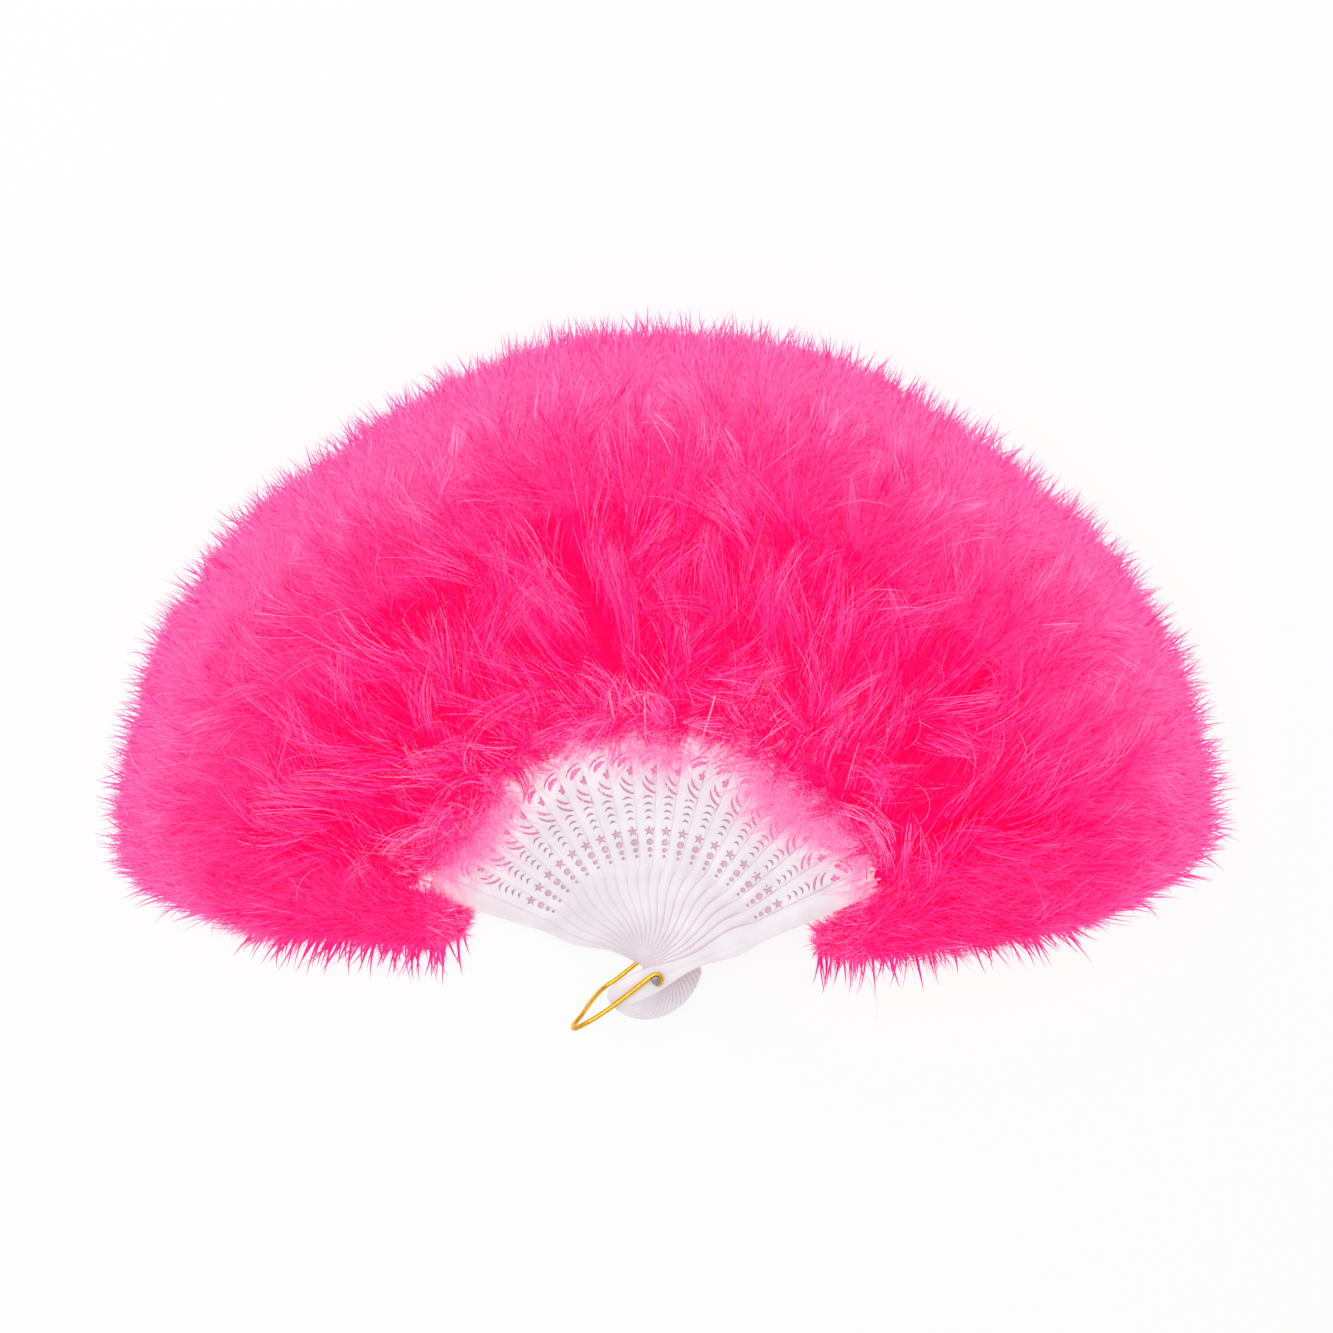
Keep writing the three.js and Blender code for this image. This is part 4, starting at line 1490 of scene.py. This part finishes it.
    def veil(self, layer: Layer, feather: Feather) -> bpy.types.Object:
        """Models the finest down at a feather's root, which veils the tip of its stick.

        Args:
            layer: The layer.
            feather: Its main feather.

        Returns:
            The piece.
        """
        rng = np.random.default_rng(7000 + layer.number)
        count = int(self.veil_barbs * feather.veil)
        place = [feather.root - self.veil_back, 0.0, feather.level + self.veil_height]
        start = place + rng.uniform(-1, 1, (count, 3)) * self.veil_box
        heading = np.stack([-np.ones(count), np.zeros(count), rng.uniform(0.0, 0.4, count)], axis=1)
        heading = self.turned(heading, rng.normal(0, 0.6, count))
        mean = self.veil_mean + self.veil_gain * feather.veil
        length = np.minimum(self.veil_shortest + rng.exponential(mean, count), self.veil_longest)
        roots = Roots(start, heading, length, rng.normal(0, 0.7, count), np.full(count, 0.5))
        points = self.grow(roots, 5, rng)
        points[..., 2] = np.maximum(points[..., 2], feather.level + self.veil_gap)
        width = self.veil_width * rng.uniform(0.6, 1.3, count)
        barbs = Barbs(points, self.facing(np.zeros(count), 0.5, rng), width, rng.uniform(0.2, 0.9, count))
        return self.placed(layer, f"veil_{layer.label}", *self.ribbons(barbs, feather.level + self.ceiling))

    def shade_lining(self, layer: Layer, blades: Blades) -> bpy.types.Object:
        """Models the thin down that lies flat behind a stick, a sheet of painted shade that shows through its
        piercings.

        Args:
            layer: The layer.
            blades: The sticks, for their width.

        Returns:
            The piece.
        """
        rng = np.random.default_rng(5000 + layer.number)
        count, (near, far) = self.shade_lining_barbs, self.shade_lining_span
        x = rng.uniform(near + self.shade_lining_start, far, count)
        half = np.array([blades.half_width(float(v), blades.stick_tip_half) for v in x]) - self.shade_lining_inset
        start = np.stack([x, half * rng.uniform(-1, 1, count), np.zeros(count)], axis=1)
        heading = np.stack([-np.ones(count), rng.normal(0, 0.08, count), np.zeros(count)], axis=1)
        length = np.minimum(rng.uniform(*self.shade_lining_lengths, count), x - near)
        points = self.grow(Roots(start, heading, length, np.zeros(count), np.zeros(count)), 2, rng)
        points[..., 2] = (layer.bottom - rng.uniform(*self.shade_lining_depths, count))[:, None]
        face = np.tile([0.0, 0.0, 1.0], (count, 1))
        width = self.shade_lining_width * rng.uniform(0.6, 1.2, count)
        points, faces, spots = self.ribbons(Barbs(points, face, width, rng.uniform(0, 1, count)), layer.bottom)
        spots[:, 0] = np.clip((points[:, 0] - near) / (far - near), 0.0, 1.0)
        return self.placed(layer, f"shade_lining_{layer.label}", points, faces, spots)

    @staticmethod
    def placed(
        layer: Layer, name: str, points: np.ndarray, faces: np.ndarray, spots: np.ndarray
    ) -> bpy.types.Object:
        """Returns a mesh object turned from its stick's frame to its layer's place."""
        mesh = quad_mesh(name, points, faces, spots)
        mesh.transform(layer.turn())
        return link(name, mesh)

    def quill(self, layer: Layer, feather: Feather) -> bpy.types.Object:
        """Models the bare, tapering shaft that lies on the stick's front and runs into the down."""
        start, end, radius = feather.root - self.quill_back, feather.root + self.quill_length, self.quill_radius
        lift = dict(self.bare_quills).get(layer.number, self.quill_lift)
        lean = Matrix.Rotation(math.radians(feather.lean), 4, "Z")

        def height(x: float) -> float:
            """Returns the height of the shaft's middle."""
            return feather.level + radius + lift * float(ease(start + self.quill_flat, end, x))

        points = [Vector((x, 0.0, height(x))) for x in np.linspace(start, end, 6)]
        piece = wire(f"quill_{layer.label}", points, radius, 2)
        for vertex in piece.data.vertices:
            middle = Vector((vertex.co.x, 0, height(vertex.co.x)))
            vertex.co = middle.lerp(vertex.co, blend(1.0, 0.5, float(ease(start, end, vertex.co.x))))
        piece.data.transform(layer.turn() @ lean)
        return piece

    def build(self, layers: Sequence[Layer], blades: Blades, finishes: FeatherFinishes) -> None:
        """Models every layer's plume and quill.

        Args:
            layers: The stack.
            blades: The sticks.
            finishes: The materials of the feathers.
        """
        for layer in layers:
            feathers = self.feathers(layer)
            down, veil = self.down(layer, feathers), self.veil(layer, feathers[0])
            settle(down, layer.body, finishes.down, [layer.plume_node])
            settle(veil, layer.body, finishes.veil)
            anchor = Vector((0, 0, layer.middle))
            for piece in (down, veil):
                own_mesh(piece)
            settle(self.quill(layer, feathers[0]), layer.body, finishes.horn)
            if not layer.is_guard:
                settle(self.shade_lining(layer, blades), layer.body, finishes.shade_lining)


def quad_mesh(name: str, points: np.ndarray, faces: np.ndarray, spots: np.ndarray) -> bpy.types.Mesh:
    """Makes a mesh of four-sided faces, with the same map twice: one to read and one that is kept.

    Args:
        name: The mesh's name.
        points: The vertices.
        faces: Four vertex numbers for each face.
        spots: Each vertex's place on the map.

    Returns:
        The mesh, shaded smooth.
    """
    mesh = bpy.data.meshes.new(name)
    mesh.vertices.add(len(points))
    mesh.vertices.foreach_set("co", points.astype(np.float32).ravel())
    mesh.loops.add(faces.size)
    mesh.loops.foreach_set("vertex_index", faces.astype(np.int32).ravel())
    mesh.polygons.add(len(faces))
    mesh.polygons.foreach_set("loop_start", np.arange(0, faces.size, 4, dtype=np.int32))
    mesh.polygons.foreach_set("use_smooth", np.ones(len(faces), dtype=bool))
    for title in (BARB_MAP, KEPT_MAP):
        layer = mesh.uv_layers.new(name=title)
        layer.uv.foreach_set("vector", spots[faces.ravel()].astype(np.float32).ravel())
    mesh.update(calc_edges=True)
    mesh.validate()
    return mesh


@dataclass(frozen=True)
class Studio:
    """The floor, the soft lamps and the camera above the fan."""

    floor_side: float = 8.0
    floor_drop: float = 0.0004
    world_strength: float = 0.68
    lamp_power: float = 11.0
    lamp_side: float = 1.4
    lamp_place: Triple = (-0.35, 0.55, 1.5)
    lamp_aim: Triple = (0.0, 0.13, 0.0)
    image_side: float = 1333.0
    pixel: float = 0.0004405
    distance: float = 0.650
    tilt: Pair = (4.8, 2.0)
    shift: Pair = (-0.0051, -0.1328)
    aim_height: float = 0.0198
    sensor: float = 36.0

    def floor(self, material: bpy.types.Material) -> None:
        """Lays the floor just under the fan."""
        middle = (0, 0, -self.floor_drop)
        floor = primitive(bpy.ops.mesh.primitive_plane_add, size=self.floor_side, location=middle)
        floor.name = "floor"
        floor.data.materials.append(material)

    def lamps(self) -> None:
        """Hangs one large soft lamp and lights the rest evenly."""
        lamp = bpy.data.lights.new("soft_lamp", "AREA")
        lamp.energy = self.lamp_power
        lamp.size = self.lamp_side
        held = link("soft_lamp", lamp)
        held.location = self.lamp_place
        aim = Vector(self.lamp_aim) - held.location
        held.rotation_euler = aim.to_track_quat("-Z", "Y").to_euler()
        world = bpy.data.worlds.new("even_light")
        world.use_nodes = True
        nodes, links = world.node_tree.nodes, world.node_tree.links
        path = nodes.new("ShaderNodeLightPath")
        seen = nodes.new("ShaderNodeMath")
        seen.operation = "MAXIMUM"
        links.new(path.outputs["Is Camera Ray"], seen.inputs[0])
        links.new(path.outputs["Is Transmission Ray"], seen.inputs[1])
        level = nodes.new("ShaderNodeMapRange")
        level.inputs["To Min"].default_value = self.world_strength
        level.inputs["To Max"].default_value = 1.0
        links.new(seen.outputs[0], level.inputs["Value"])
        sky = nodes["Background"]
        sky.inputs["Color"].default_value = (1, 1, 1, 1)
        links.new(level.outputs[0], sky.inputs["Strength"])
        bpy.context.scene.world = world

    def camera(self) -> None:
        """Hangs the camera where the photograph was taken from."""
        turn = Euler([math.radians(a) for a in self.tilt] + [0.0], "XYZ").to_matrix().transposed()
        place = turn @ Vector((-self.shift[0], -self.shift[1], self.distance))
        data = bpy.data.cameras.new("camera")
        data.sensor_width = self.sensor
        data.lens = self.sensor * self.distance / self.pixel / self.image_side
        data.clip_start = 0.01
        held = link("camera", data)
        held.matrix_world = Matrix.Translation(place + Vector((0, 0, self.aim_height))) @ turn.to_4x4()
        bpy.context.scene.camera = held

    def build(self, material: bpy.types.Material) -> None:
        """Sets up the floor, the lamps, the camera and the view."""
        self.floor(material)
        self.lamps()
        self.camera()
        bpy.context.scene.view_settings.view_transform = "Standard"


def main() -> None:
    """Builds the studio and the fan, piece by piece."""
    logging.basicConfig(level=logging.INFO)
    Studio().build(FloorFinish().material())
    layers = Layout().layers()
    blades = Blades()
    blades.build(layers, PlasticFinish().material())
    Rivet().build(MetalFinish("grey_rivet", "B4A9B2", "8E828C", 0.3).material())
    WireLoop().build(MetalFinish("gold_wire", "FFD04A", "EBA51C", 0.16).material())
    LinkingThread().build(layers, blades, ThreadFinish().material())
    # The veil's down takes a painted glow too, an emission in its own colour.
    veil = DownFinish("veil_down", ((0.0, "FF6AB2"), (1.0, "FFAAD8")), 0.3, 0.2)
    dyed = [finish.material() for finish in (DownFinish(), veil, ShadeLiningFinish(), QuillFinish())]
    finishes = FeatherFinishes(*dyed)
    Plumes().build(layers, blades, finishes)


if __name__ == "__main__":
    main()
